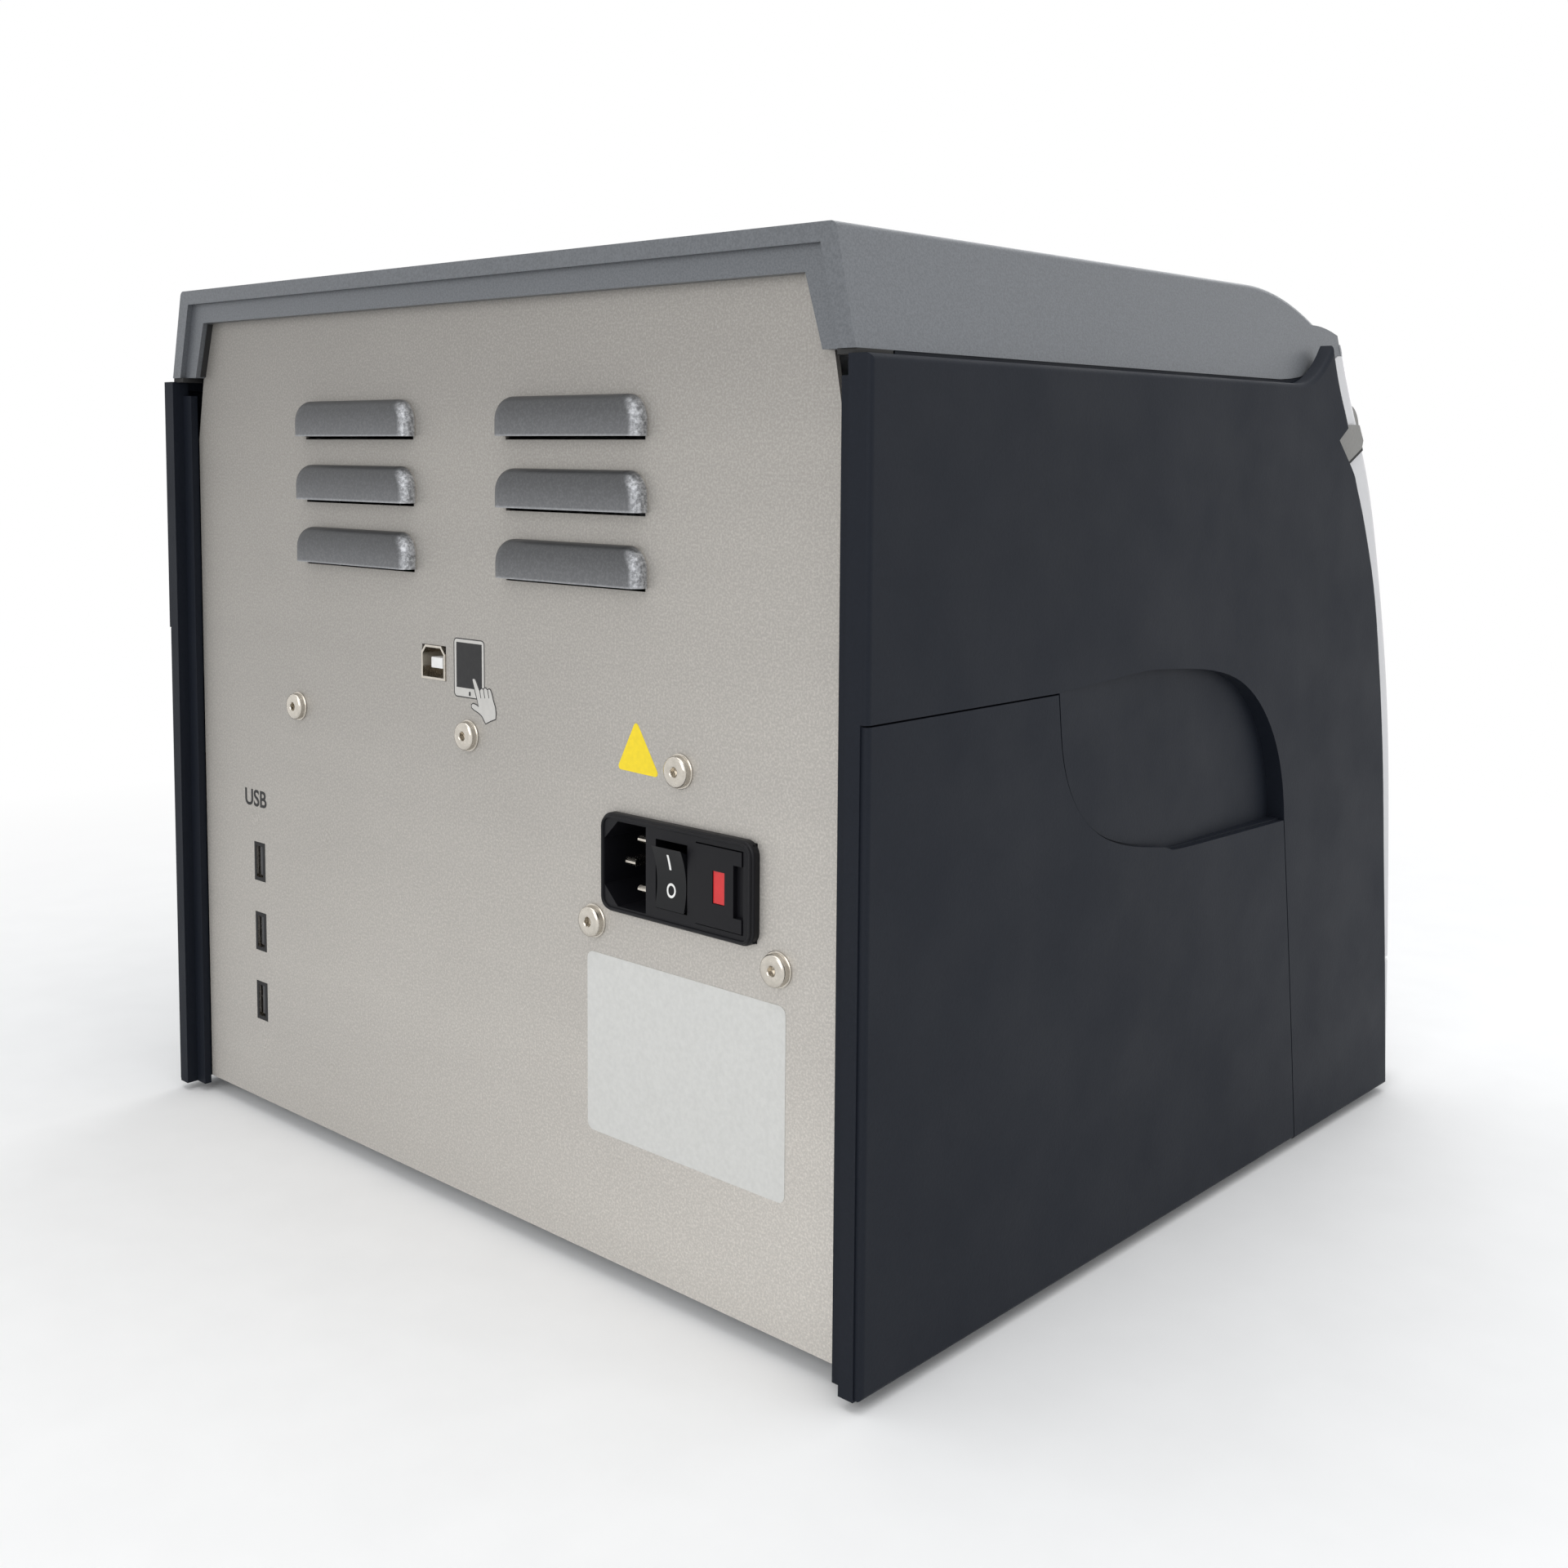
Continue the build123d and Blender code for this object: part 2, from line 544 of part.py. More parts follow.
# ---------------------------------------------------------------- inner frame
def side_frame():
    """Pressed side wall of the inner frame, with lightening windows, a ledge for the cover and a hinge ear."""
    low = FOOT_H + BASE_T
    rear = [(BASE_REAR - 2.1, low), (BASE_REAR - 2.1, 21.1), (BASE_REAR, 21.1), (BASE_REAR, COVER_Z)]
    nose = [(-55, COVER_Z), (-78, 265), (-97, 267), (-111.5, 250), (-111.5, 241), (-96, 233)]
    front = [(-100, 190), (-112, 150), (-118, 100), (-122, 50), (-122, low)]
    outline = Polyline(*rear, *nose, *front, close=True)
    wall = side_prism(outline, FRAME_X, FRAME_X + SHEET_T)
    for y, z, length, height in FRAME_WINDOWS:
        wall -= Pos(FRAME_X - 5, y, z) * extrude(Plane.YZ * RectangleRounded(length, height, 12), 20)
    ledge = block(FRAME_X, COVER_HALF_BOTTOM - 2.1, -25, 150, COVER_Z - SHEET_T, COVER_Z)
    return wall + ledge - rod_x(HINGE_Y, HINGE_Z, 140, 170, HINGE_PIN_R)


FRAME_WINDOWS = [(50.0, 208.0, 110.0, 60.0), (112.0, 90.0, 56.0, 80.0)]
BULKHEAD_Y = 76.0


def bulkhead():
    """Sheet wall between the sample bay and the electronics."""
    wall = block(-FRAME_X, FRAME_X, BULKHEAD_Y, BULKHEAD_Y + SHEET_T, FOOT_H + BASE_T, 240)
    wall += block(-FRAME_X, FRAME_X, BULKHEAD_Y, BULKHEAD_Y + 12, 240 - SHEET_T, 240)
    wall -= rod_y(0, SCREW_Z, BULKHEAD_Y - 5, BULKHEAD_Y + 15, 7.0)
    for x in (-70, 70):
        wall -= Pos(x, BULKHEAD_Y - 5, 200) * extrude(Plane.XZ * SlotOverall(60, 14), -20)
    return wall


def head_bridge():
    """Folded cross member over the sample bay that carries the guide rods."""
    top = block(-FRAME_X, FRAME_X, HEAD_Y - 22, HEAD_Y + 22, 236, 238)
    lips = block(-FRAME_X, FRAME_X, HEAD_Y - 22, HEAD_Y - 20, 226, 238)
    lips += block(-FRAME_X, FRAME_X, HEAD_Y + 20, HEAD_Y + 22, 226, 238)
    bridge = top + lips
    for x in (-GUIDE_X, GUIDE_X):
        bridge -= rod_z(x, HEAD_Y, 230, 240, GUIDE_R)
    return bridge


def guide_rods():
    return group(rod_z(x, HEAD_Y, 130, 238, GUIDE_R) for x in (-GUIDE_X, GUIDE_X))


def guide_brackets():
    """Small angles on the side walls that steady the lower ends of the guide rods."""
    bracket = block(126, FRAME_X, HEAD_Y - 9, HEAD_Y + 9, 130, 134)
    bracket += block(FRAME_X - 2, FRAME_X, HEAD_Y - 9, HEAD_Y + 9, 114, 134)
    bracket -= rod_z(GUIDE_X, HEAD_Y, 120, 140, GUIDE_R)
    return group([bracket, mirrored(bracket)])


# ---------------------------------------------------------------- sliding platform
SCREW_Z = 30.0
SCREW_R = 4.0
RAIL_X = 105.0
RAIL_W, RAIL_H = 12.0, 8.0
RAIL_Z = FOOT_H + BASE_T
CARRIAGE_Z = RAIL_Z + 3.0
CARRIAGE_TOP = 22.0
CARRIAGE_Y = (8.0, 50.0)
TRAY_FRONT, TRAY_REAR = -141.0, -22.0


def linear_rails():
    """Profiled guide rails with a waist and mounting holes."""
    waist = 1.6
    half = RAIL_W / 2
    outline = Polyline((-half, 0), (half, 0), (half, 2.5), (half - waist, 3.6), (half - waist, 5.0), (half, 6.1),
                       (half, RAIL_H), (-half, RAIL_H), (-half, 6.1), (-half + waist, 5.0), (-half + waist, 3.6),
                       (-half, 2.5), close=True)
    rail = Pos(0, -136, 0) * extrude(Plane.XZ * make_face(outline), -204)
    for y in range(-120, 60, 40):
        rail -= rod_z(0, y, 3, 10, 3.2)
    return group(Pos(x, 0, RAIL_Z) * rail for x in (-RAIL_X, RAIL_X))


def rail_carriages():
    """Bearing blocks that straddle the rails."""
    block_solid = block(-13.5, 13.5, -15, 15, CARRIAGE_Z, CARRIAGE_TOP)
    block_solid -= block(-6.3, 6.3, -20, 20, RAIL_Z - 1, RAIL_Z + RAIL_H + 0.3)
    return group(Pos(x, y, 0) * block_solid for x in (-RAIL_X, RAIL_X) for y in CARRIAGE_Y)


def platform_risers():
    """Machined legs between the bearing blocks and the platform arms."""
    leg = block(-10, 10, -15, 60 + 5, CARRIAGE_TOP, PLATFORM_Z)
    leg -= block(-20, 20, 14, 44, CARRIAGE_TOP + 6, PLATFORM_Z - 5)
    return group(Pos(x, 0, 0) * leg for x in (-RAIL_X, RAIL_X))


def platform_plate():
    """Plate under the tray with two arms that run back to the guides."""
    plate = block(-136, 136, TRAY_FRONT, TRAY_REAR + 4, PLATFORM_Z, PLATFORM_Z + PLATFORM_T)
    for x in (-RAIL_X, RAIL_X):
        plate += block(x - 14, x + 14, TRAY_REAR, 65, PLATFORM_Z, PLATFORM_Z + PLATFORM_T)
    front = [e for e in plate.edges().filter_by(Axis.Z) if e.center().Y < TRAY_FRONT + 1]
    return fillet(front, 8)


def nut_bracket():
    """Bridge between the arms that holds the drive nut."""
    beam = block(-RAIL_X + 14, RAIL_X - 14, 24, 36, PLATFORM_Z, PLATFORM_Z + PLATFORM_T)
    hanger = block(-12, 12, 24, 36, SCREW_Z - 10, PLATFORM_Z)
    return beam + hanger - rod_y(0, SCREW_Z, 20, 40, 7.0)


def drive_nut():
    nut = rod_y(0, SCREW_Z, 20, 40, 7.0) + rod_y(0, SCREW_Z, 20, 24, 10.0)
    return nut - rod_y(0, SCREW_Z, 10, 50, SCREW_R + RUNNING)


def drive_screw():
    """Lead screw with a reduced journal at its front end."""
    return rod_y(0, SCREW_Z, -118, 86, SCREW_R) + rod_y(0, SCREW_Z, -126, -118, 3.0)


def screw_bearing():
    body = block(-14, 14, -127.5, -119.0, RAIL_Z, SCREW_Z + 11)
    body = fillet([e for e in body.edges().filter_by(Axis.Y) if e.center().Z > SCREW_Z], 6)
    return body - rod_y(0, SCREW_Z, -130, -110, 3.0 + RUNNING)


def stepper(size, length, pilot_r, pilot_h):
    """Square stepper motor, front face at the origin, body along -Z, with chamfered corners."""
    body = Box(size, size, length, align=(Align.CENTER, Align.CENTER, Align.MAX))
    body = chamfer(body.edges().filter_by(Axis.Z), size * 0.09)
    groove = Box(size * 1.2, size * 1.2, 1.2) - Box(size * 0.96, size * 0.96, 1.2)
    body -= Pos(0, 0, -length * 0.25) * groove
    body -= Pos(0, 0, -length * 0.75) * groove
    return body + Pos(0, 0, pilot_h / 2) * Cylinder(pilot_r, pilot_h)


def platform_motor():
    """Stepper behind the bulkhead; the lead screw runs into its hollow shaft."""
    motor = Pos(0, BULKHEAD_Y + SHEET_T, SCREW_Z) * Rot(90, 0, 0) * stepper(35, 34, 6.6, 2.0)
    return motor - rod_y(0, SCREW_Z, 60, 88, SCREW_R + RUNNING)


def slot_centres():
    start = -(CHANNELS - 1) * PITCH / 2
    return [start + i * PITCH for i in range(CHANNELS)]


def deck_tray():
    """Cartridge tray: floor with a stepped front and rear wall."""
    z = PLATFORM_Z + PLATFORM_T
    floor = block(-131, 131, -119.5, TRAY_REAR, z, z + 3)
    rear = block(-131, 131, TRAY_REAR - 3, TRAY_REAR, z, z + 24)
    front = block(-131, 131, -119.5, -117.5, z, z + 12)
    return floor + rear + front


def tray_dividers():
    """Fins between the cartridge channels."""
    z = PLATFORM_Z + PLATFORM_T + 3
    fin = block(-0.9, 0.9, -117.5, TRAY_REAR - 3, z, z + 26)
    top = [e for e in fin.edges().filter_by(Axis.X) if e.center().Z > z + 20]
    fin = chamfer(top, 5)
    places = [x - PITCH / 2 for x in slot_centres()] + [slot_centres()[-1] + PITCH / 2]
    return group(Pos(x, 0, 0) * fin for x in places)


def elution_block():
    """Heated aluminium bar with a seat for each elution tube."""
    z = PLATFORM_Z + PLATFORM_T
    bar = block(-131, 131, -138, -119.5, z, z + 12)
    bar = chamfer([e for e in bar.edges().filter_by(Axis.X) if e.center().Z > z + 5 and e.center().Y < -130], 3)
    seat = Cone(1.6, 3.6, 3.5, align=(Align.CENTER, Align.CENTER, Align.MAX))
    for x in slot_centres():
        bar -= Pos(x, -127.5, z + 12) * seat
    return bar


# ---------------------------------------------------------------- magnetic rod head
HEAD_HALF = 142.5
LIFT_Y = 30.0
ROD_LIFT_X, PLUNGER_LIFT_X = 42.0, -42.0
LIFT_BODY_TOP = 128.0
LIFT_SHAFT_R = 3.0


def head_beam(z, thick, lift_x):
    """Cross beam on the guide rods with an arm back to its lift shaft."""
    beam = block(-HEAD_HALF, HEAD_HALF, HEAD_Y - 9, HEAD_Y + 9, z, z + thick)
    beam = fillet([e for e in beam.edges().filter_by(Axis.Z)], 5)
    beam += block(lift_x - 9, lift_x + 9, HEAD_Y, LIFT_Y + 9, z, z + thick)
    for x in (-GUIDE_X, GUIDE_X):
        beam -= rod_z(x, HEAD_Y, z - 5, z + thick + 5, 6.0)
    return beam - rod_z(lift_x, LIFT_Y, z - 1, z + thick - 2, LIFT_SHAFT_R)


def bushes(z, thick, over):
    """Flanged sliding bushes for both guide rods."""
    def bush(x):
        body = rod_z(x, HEAD_Y, z - over, z + thick + over, 6.0)
        body += rod_z(x, HEAD_Y, z + thick, z + thick + 1.5, 7.5)
        return body - rod_z(x, HEAD_Y, z - 20, z + 40, GUIDE_R + RUNNING)
    return group(bush(x) for x in (-GUIDE_X, GUIDE_X))


def rod_head():
    beam = head_beam(ROD_HEAD_Z, HEAD_T, ROD_LIFT_X)
    for x in slot_centres():
        beam -= rod_z(x, HEAD_Y, ROD_HEAD_Z - 1, ROD_HEAD_Z + 8, ROD_R)
    return beam


def magnetic_rods():
    """Steel rods with rounded magnet tips."""
    rod = rod_z(0, 0, ROD_HEAD_Z - ROD_LENGTH, ROD_HEAD_Z + 8, ROD_R)
    rod = fillet(rod.edges().sort_by(Axis.Z)[0], 1.8)
    return group(Pos(x, HEAD_Y, 0) * rod for x in slot_centres())


def plunger_bar():
    """Bar that holds the disposable plungers over the rods."""
    bar = head_beam(PLUNGER_Z, PLUNGER_T, PLUNGER_LIFT_X)
    for x in slot_centres():
        bar -= rod_z(x, HEAD_Y, PLUNGER_Z - 1, PLUNGER_Z + 20, 4.0)
    return bar


def lift_motor(x):
    """Captive linear actuator: square body, with a long sleeve below and a pilot boss above."""
    motor = Pos(x, LIFT_Y, LIFT_BODY_TOP) * stepper(28, 34, 8.0, 2.0)
    motor += rod_z(x, LIFT_Y, 66, LIFT_BODY_TOP - 34, 7.0)
    return motor - rod_z(x, LIFT_Y, 74, LIFT_BODY_TOP + 10, LIFT_SHAFT_R + RUNNING)


def lift_shaft(x, z_head, thick, tail):
    return rod_z(x, LIFT_Y, tail, z_head + thick - 2, LIFT_SHAFT_R)


def lift_shelf():
    """Folded shelf on the bulkhead that carries both lift actuators."""
    shelf = block(-80, 80, LIFT_Y - 18, BULKHEAD_Y, LIFT_BODY_TOP, LIFT_BODY_TOP + SHEET_T)
    shelf += block(-80, 80, BULKHEAD_Y - SHEET_T, BULKHEAD_Y, LIFT_BODY_TOP - 20, LIFT_BODY_TOP + SHEET_T)
    for x in (ROD_LIFT_X, PLUNGER_LIFT_X):
        shelf -= rod_z(x, LIFT_Y, LIFT_BODY_TOP - 5, LIFT_BODY_TOP + 10, 8.2)
    return shelf


# ---------------------------------------------------------------- electronics
def power_supply():
    """Enclosed supply with a perforated lid."""
    case = block(-140, -40, BULKHEAD_Y + 6, BULKHEAD_Y + 44, 16, 96)
    for i in range(6):
        for j in range(3):
            case -= rod_y(-128 + i * 15, 32 + j * 22, BULKHEAD_Y + 41, BULKHEAD_Y + 50, 3.0)
    return case


def power_supply_brackets():
    """Angles that stand the supply on the base plate."""
    angle = block(-136, -44, BULKHEAD_Y + 8, BULKHEAD_Y + 42, RAIL_Z, RAIL_Z + 2)
    angle += block(-136, -132, BULKHEAD_Y + 8, BULKHEAD_Y + 42, RAIL_Z + 2, 16)
    angle += block(-48, -44, BULKHEAD_Y + 8, BULKHEAD_Y + 42, RAIL_Z + 2, 16)
    return angle


def control_board():
    """Main board on the bulkhead's rear, with its larger parts."""
    face = BULKHEAD_Y + 10
    board = block(-60, 130, face, face + 1.6, 112, 192)
    board += block(-40, -10, face + 1.6, face + 5, 130, 160)
    board += block(20, 46, face + 1.6, face + 9, 120, 150)
    board += block(60, 118, face + 1.6, face + 8, 160, 170)
    for x in (-50, 0, 60, 120):
        board += rod_y(x, 116, BULKHEAD_Y + SHEET_T, face, 3.0)
        board += rod_y(x, 188, BULKHEAD_Y + SHEET_T, face, 3.0)
    return board


def usb_hub_board():
    """Upright board behind the three host ports."""
    board = block(68, 132, 136, 137.6, 22, 112)
    for x, z in REAR_STUDS:
        board += rod_y(x, z, 137.6, REAR_PLANE_Y - 9, 3.0)
    return board


def usb_host_ports():
    """Three upright USB-A receptacles."""
    def port(z):
        shell = block(USB_A_X - 2.6, USB_A_X + 2.6, 137.6, REAR_PLANE_Y - 0.1, z - 6.1, z + 6.1)
        cavity = block(USB_A_X - 2.1, USB_A_X + 2.1, 147, 170, z - 5.6, z + 5.6)
        tongue = block(USB_A_X + 0.1, USB_A_X + 1.5, 146, REAR_PLANE_Y - 1.2, z - 5.0, z + 5.0)
        return shell - cavity + tongue
    return group(port(z) for z in USB_A_ROWS)


def usb_device_board():
    """Small carrier behind the square port."""
    board = block(USB_B_X - 14, USB_B_X + 14, 139, 140.6, USB_B_Z - 14, USB_B_Z + 14)
    board += block(USB_B_X - 3, USB_B_X + 3, BULKHEAD_Y + 11.6, 139, USB_B_Z - 3, USB_B_Z + 3)
    return board


def usb_device_port():
    """USB-B receptacle: square shell with two bevelled corners and a square tongue."""
    half_w, half_h = 6.0, 5.3
    outline = Polyline((-half_w, -half_h), (half_w, -half_h), (half_w, half_h - 2.4), (half_w - 2.0, half_h),
                       (-half_w + 2.0, half_h), (-half_w, half_h - 2.4), close=True)
    shell = Pos(USB_B_X, 0, USB_B_Z) * rear_prism(outline, 140.6, REAR_PLANE_Y + 0.4)
    cavity = Pos(USB_B_X, 0, USB_B_Z) * rear_prism(outline, 148, 170, grow=-0.7)
    tongue = block(USB_B_X - 2.8, USB_B_X + 2.8, 147, REAR_PLANE_Y - 1.2, USB_B_Z - 1.8, USB_B_Z + 1.4)
    return shell - cavity + tongue


# ---------------------------------------------------------------- power inlet
FACE_Y = REAR_PLANE_Y + INLET_PROUD
SOCKET_X0, SOCKET_X1 = -84.0, -67.2
SOCKET_Z0, SOCKET_Z1 = 110.8, 134.8
ROCKER_X, ROCKER_Z = -94.0, 122.8
ROCKER_W, ROCKER_H = 11.4, 18.0
ROCKER_DEG = 9.0
DRAWER_X0, DRAWER_X1 = -120.4, -103.6
DRAWER_Z0, DRAWER_Z1 = 112.0, 133.6
DRAWER_TRAVEL = 26.0
DRAWER_DEPTH = 30.0


def socket_outline():
    """C14 shape: two bevelled corners on the outer side."""
    bevel = 5.5
    return Polyline((SOCKET_X0, SOCKET_Z0), (SOCKET_X1 - bevel, SOCKET_Z0), (SOCKET_X1, SOCKET_Z0 + bevel),
                    (SOCKET_X1, SOCKET_Z1 - bevel), (SOCKET_X1 - bevel, SOCKET_Z1), (SOCKET_X0, SOCKET_Z1), close=True)


def inlet_housing():
    """Combined inlet, switch and fuse housing with a rounded bezel."""
    bezel = Pos(INLET_X, REAR_PLANE_Y + 0.02, INLET_Z) * extrude(
        Plane.XZ * RectangleRounded(INLET_W, INLET_H, 4.0), -(INLET_PROUD - 0.02))
    rim = [e for e in bezel.edges() if abs(e.center().Y - FACE_Y) < 0.01]
    bezel = fillet(rim, 0.8)
    housing = bezel + inlet_cutout(0, 126, REAR_PLANE_Y + 1)
    housing -= rear_prism(socket_outline(), 143.5, 170)
    housing -= block(ROCKER_X - ROCKER_W / 2 - 0.4, ROCKER_X + ROCKER_W / 2 + 0.4, 150, 170,
                     ROCKER_Z - ROCKER_H / 2 - 0.5, ROCKER_Z + ROCKER_H / 2 + 0.5)
    housing -= block(DRAWER_X0 - 0.3, DRAWER_X1 + 0.3, 131, 170, DRAWER_Z0 - 0.3, DRAWER_Z1 + 0.3)
    housing -= rod_x(ROCKER_PIVOT_Y, ROCKER_Z, ROCKER_X - 8.0, ROCKER_X + 8.0, 1.2 + RUNNING)
    return housing - inlet_pins()


ROCKER_PIVOT_Y = FACE_Y - 5.0


def inlet_pins():
    """Three flat blades."""
    def blade(x, z, width, height):
        pin = block(x - width / 2, x + width / 2, 128, 158, z - height / 2, z + height / 2)
        return chamfer(pin.edges().filter_by(Axis.X if width > height else Axis.Z).sort_by(Axis.Y)[-2:], 0.7)
    centre_x = (SOCKET_X0 + SOCKET_X1) / 2
    return group([blade(centre_x + 2.0, INLET_Z, 4.0, 2.0), blade(centre_x - 3.0, INLET_Z + 7, 4.0, 2.0),
                  blade(centre_x - 3.0, INLET_Z - 7, 4.0, 2.0)])


def rocker_switch():
    """Two-position rocker, shown with its lower half pressed."""
    half_h = ROCKER_H / 2 - 0.4
    half_w = ROCKER_W / 2 - 0.1
    outline = Curve() + [Line((-6.0, -half_h + 4), (0.6, -half_h)),
                         ThreePointArc((0.6, -half_h), (-0.9, 0), (0.6, half_h)),
                         Line((0.6, half_h), (-6.0, half_h - 4)), Line((-6.0, half_h - 4), (-6.0, -half_h + 4))]
    rocker = side_prism(outline, -half_w, half_w)
    rocker = Pos(ROCKER_X, FACE_Y + 0.9, ROCKER_Z) * rocker
    rocker += rod_x(ROCKER_PIVOT_Y, ROCKER_Z, ROCKER_X - 7.6, ROCKER_X + 7.6, 1.2)
    pivot = Pos(0, ROCKER_PIVOT_Y, ROCKER_Z) * Rot(-ROCKER_DEG / 2, 0, 0) * Pos(0, -ROCKER_PIVOT_Y, -ROCKER_Z)
    return pivot * rocker


def fuse_drawer():
    """Pull-out holder: flat front with a finger tab, and an open tray for two fuses."""
    front = block(DRAWER_X0, DRAWER_X1, FACE_Y - 2.2, FACE_Y + 0.3, DRAWER_Z0, DRAWER_Z1)
    tray = block(DRAWER_X0 + 1.0, DRAWER_X1 - 1.0, FACE_Y - DRAWER_DEPTH, FACE_Y - 2.0, DRAWER_Z0 + 1, DRAWER_Z1 - 1)
    for z in FUSE_Z:
        tray -= block(DRAWER_X0 - 5, DRAWER_X0 + 7.5, FACE_Y - DRAWER_DEPTH + 3, FACE_Y - 4.5, z - 2.5, z + 2.5)
    drawer = front + tray
    drawer -= block(DRAWER_X0 - 1, DRAWER_X0 + 3.0, FACE_Y - 1.2, FACE_Y + 1, INLET_Z - 7, INLET_Z + 7)
    drawer -= block(-114.2, -109.8, FACE_Y - 1.0, FACE_Y + 1, INLET_Z - 4.4, INLET_Z + 4.4)
    return drawer


FUSE_Z = (INLET_Z - 5.2, INLET_Z + 5.2)


def fuses():
    """Two 5 x 20 mm glass fuses with metal caps."""
    y1 = FACE_Y - 5.5
    x = DRAWER_X0 + 5.0
    return group(rod_y(x, z, y1 - 20, y1, 2.3) + rod_y(x, z, y1 - 5, y1, 2.5) + rod_y(x, z, y1 - 20, y1 - 15, 2.5)
                 for z in FUSE_Z)


def voltage_window():
    """Coloured selector tile in the drawer front."""
    return block(-114.1, -109.9, FACE_Y - 1.0, FACE_Y, INLET_Z - 4.3, INLET_Z + 4.3)


# ---------------------------------------------------------------- write every node
def build_all():
    skin = skin_body()
    right_panel = side_panel()
    right_insert = side_insert()
    frame = side_frame()
    cheek, pin, cap = hinge_cheek(), hinge_pin(), hinge_cap()
    nodes = {
        "base_plate": base_plate(), "rubber_feet": rubber_feet(),
        "side_panel_right": right_panel, "side_panel_left": mirrored(right_panel),
        "side_insert_right": right_insert, "side_insert_left": mirrored(right_insert),
        "top_cover": top_cover(), "rear_panel": rear_panel(), "rear_screws": rear_screws(),
        "press_studs": press_studs(), "front_brow": front_brow(skin), "front_sill": front_sill(skin),
        "hinge_caps": group([cap, mirrored(cap)]), "hinge_pins": group([pin, mirrored(pin)]),
        "side_frame_right": frame, "side_frame_left": mirrored(frame), "bulkhead": bulkhead(),
        "head_bridge": head_bridge(), "guide_rods": guide_rods(), "guide_brackets": guide_brackets(),
        "linear_rails": linear_rails(), "screw_bearing": screw_bearing(), "platform_motor": platform_motor(),
        "lift_shelf": lift_shelf(), "rod_lift_motor": lift_motor(ROD_LIFT_X),
        "plunger_lift_motor": lift_motor(PLUNGER_LIFT_X), "power_supply": power_supply(),
        "power_supply_brackets": power_supply_brackets(), "control_board": control_board(),
        "usb_hub_board": usb_hub_board(), "usb_host_ports": usb_host_ports(),
        "usb_device_board": usb_device_board(), "usb_device_port": usb_device_port(),
        "inlet_housing": inlet_housing(), "inlet_pins": inlet_pins(),
        "door_shell": door_shell(skin), "door_liner": door_liner(),
        "door_hinge_cheeks": group([cheek, mirrored(cheek)]),
        "drive_screw": drive_screw(), "drive_nut": drive_nut(), "nut_bracket": nut_bracket(),
        "platform_plate": platform_plate(), "platform_risers": platform_risers(),
        "rail_carriages": rail_carriages(), "deck_tray": deck_tray(), "tray_dividers": tray_dividers(),
        "elution_block": elution_block(),
        "rod_head": rod_head(), "magnetic_rods": magnetic_rods(), "rod_head_bushes": bushes(ROD_HEAD_Z, HEAD_T, 2),
        "rod_lift_shaft": lift_shaft(ROD_LIFT_X, ROD_HEAD_Z, HEAD_T, 124.0),
        "plunger_bar": plunger_bar(), "plunger_bushes": bushes(PLUNGER_Z, PLUNGER_T, 1),
        "plunger_lift_shaft": lift_shaft(PLUNGER_LIFT_X, PLUNGER_Z, PLUNGER_T, 90.0),
        "rocker_switch": rocker_switch(), "fuse_drawer": fuse_drawer(), "fuses": fuses(),
        "voltage_window": voltage_window(),
    }
    for name, shape in nodes.items():
        save(shape, name)


build_all()
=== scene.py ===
"""Looks of a benchtop nucleic acid extractor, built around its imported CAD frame.

Metres, Z up, the rear towards +Y. Sizes and places of forms are written in mm and multiplied by MM.
"""
import json
import math

import bmesh
import bpy
from mathutils import Matrix, Vector

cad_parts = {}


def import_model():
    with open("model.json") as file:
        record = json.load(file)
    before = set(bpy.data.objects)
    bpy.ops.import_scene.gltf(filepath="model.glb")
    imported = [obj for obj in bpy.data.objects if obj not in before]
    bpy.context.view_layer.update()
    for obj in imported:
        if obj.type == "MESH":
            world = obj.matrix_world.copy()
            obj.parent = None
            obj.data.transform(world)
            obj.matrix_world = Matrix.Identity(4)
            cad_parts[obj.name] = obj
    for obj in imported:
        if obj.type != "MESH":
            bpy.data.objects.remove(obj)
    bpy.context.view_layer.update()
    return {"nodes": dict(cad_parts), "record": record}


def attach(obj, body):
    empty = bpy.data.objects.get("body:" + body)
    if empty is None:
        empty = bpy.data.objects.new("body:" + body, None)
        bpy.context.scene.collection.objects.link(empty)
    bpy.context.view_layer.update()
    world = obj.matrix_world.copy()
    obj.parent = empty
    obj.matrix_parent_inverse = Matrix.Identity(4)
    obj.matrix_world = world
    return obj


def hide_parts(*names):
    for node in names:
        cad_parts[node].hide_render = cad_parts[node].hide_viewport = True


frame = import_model()
NODES = frame["nodes"]
MM = 0.001

# ------------------------------------------------------------ measures shared with the solids, in mm
REAR_Y = 159.4              # outer face of the rear sheet
FACE_Y = 161.9              # face of the inlet's bezel
LOUVRE_Z, LOUVRE_PITCH = 199.3, 20.6
LOUVRE_SHADED_HEIGHT = 10.5         # height over which a louvre's painted shade runs
REAR_SCREWS = [(90.0, 150.0), (-3.0, 150.5), (-94.8, 151.3), (-60.0, 104.0), (-130.8, 104.4)]
REAR_STUDS = [(74.6, 107.2), (73.3, 27.3), (119.0, 107.0), (115.7, 27.2)]
BEZEL = (-124.0, -65.8, 109.1, 136.5)       # x0, x1, z0, z1
HOST_PORTS_Z = (91.9, 66.8, 41.8)           # middles of the three upright ports
HOST_X = (114.55, 118.65)                   # their openings, from x to x
HOST_HALF_H = 5.55                          # and half the height of one


def lin(r, g, b):
    """sRGB 0-255 to the linear colour that a shader takes."""
    def one(c):
        c /= 255.0
        return c / 12.92 if c <= 0.04045 else ((c + 0.055) / 1.055) ** 2.4
    return (one(r), one(g), one(b), 1.0)


def shade(color, k):
    """A colour made k times as light."""
    return tuple(min(1.0, c * k) for c in color[:3]) + (1.0,)


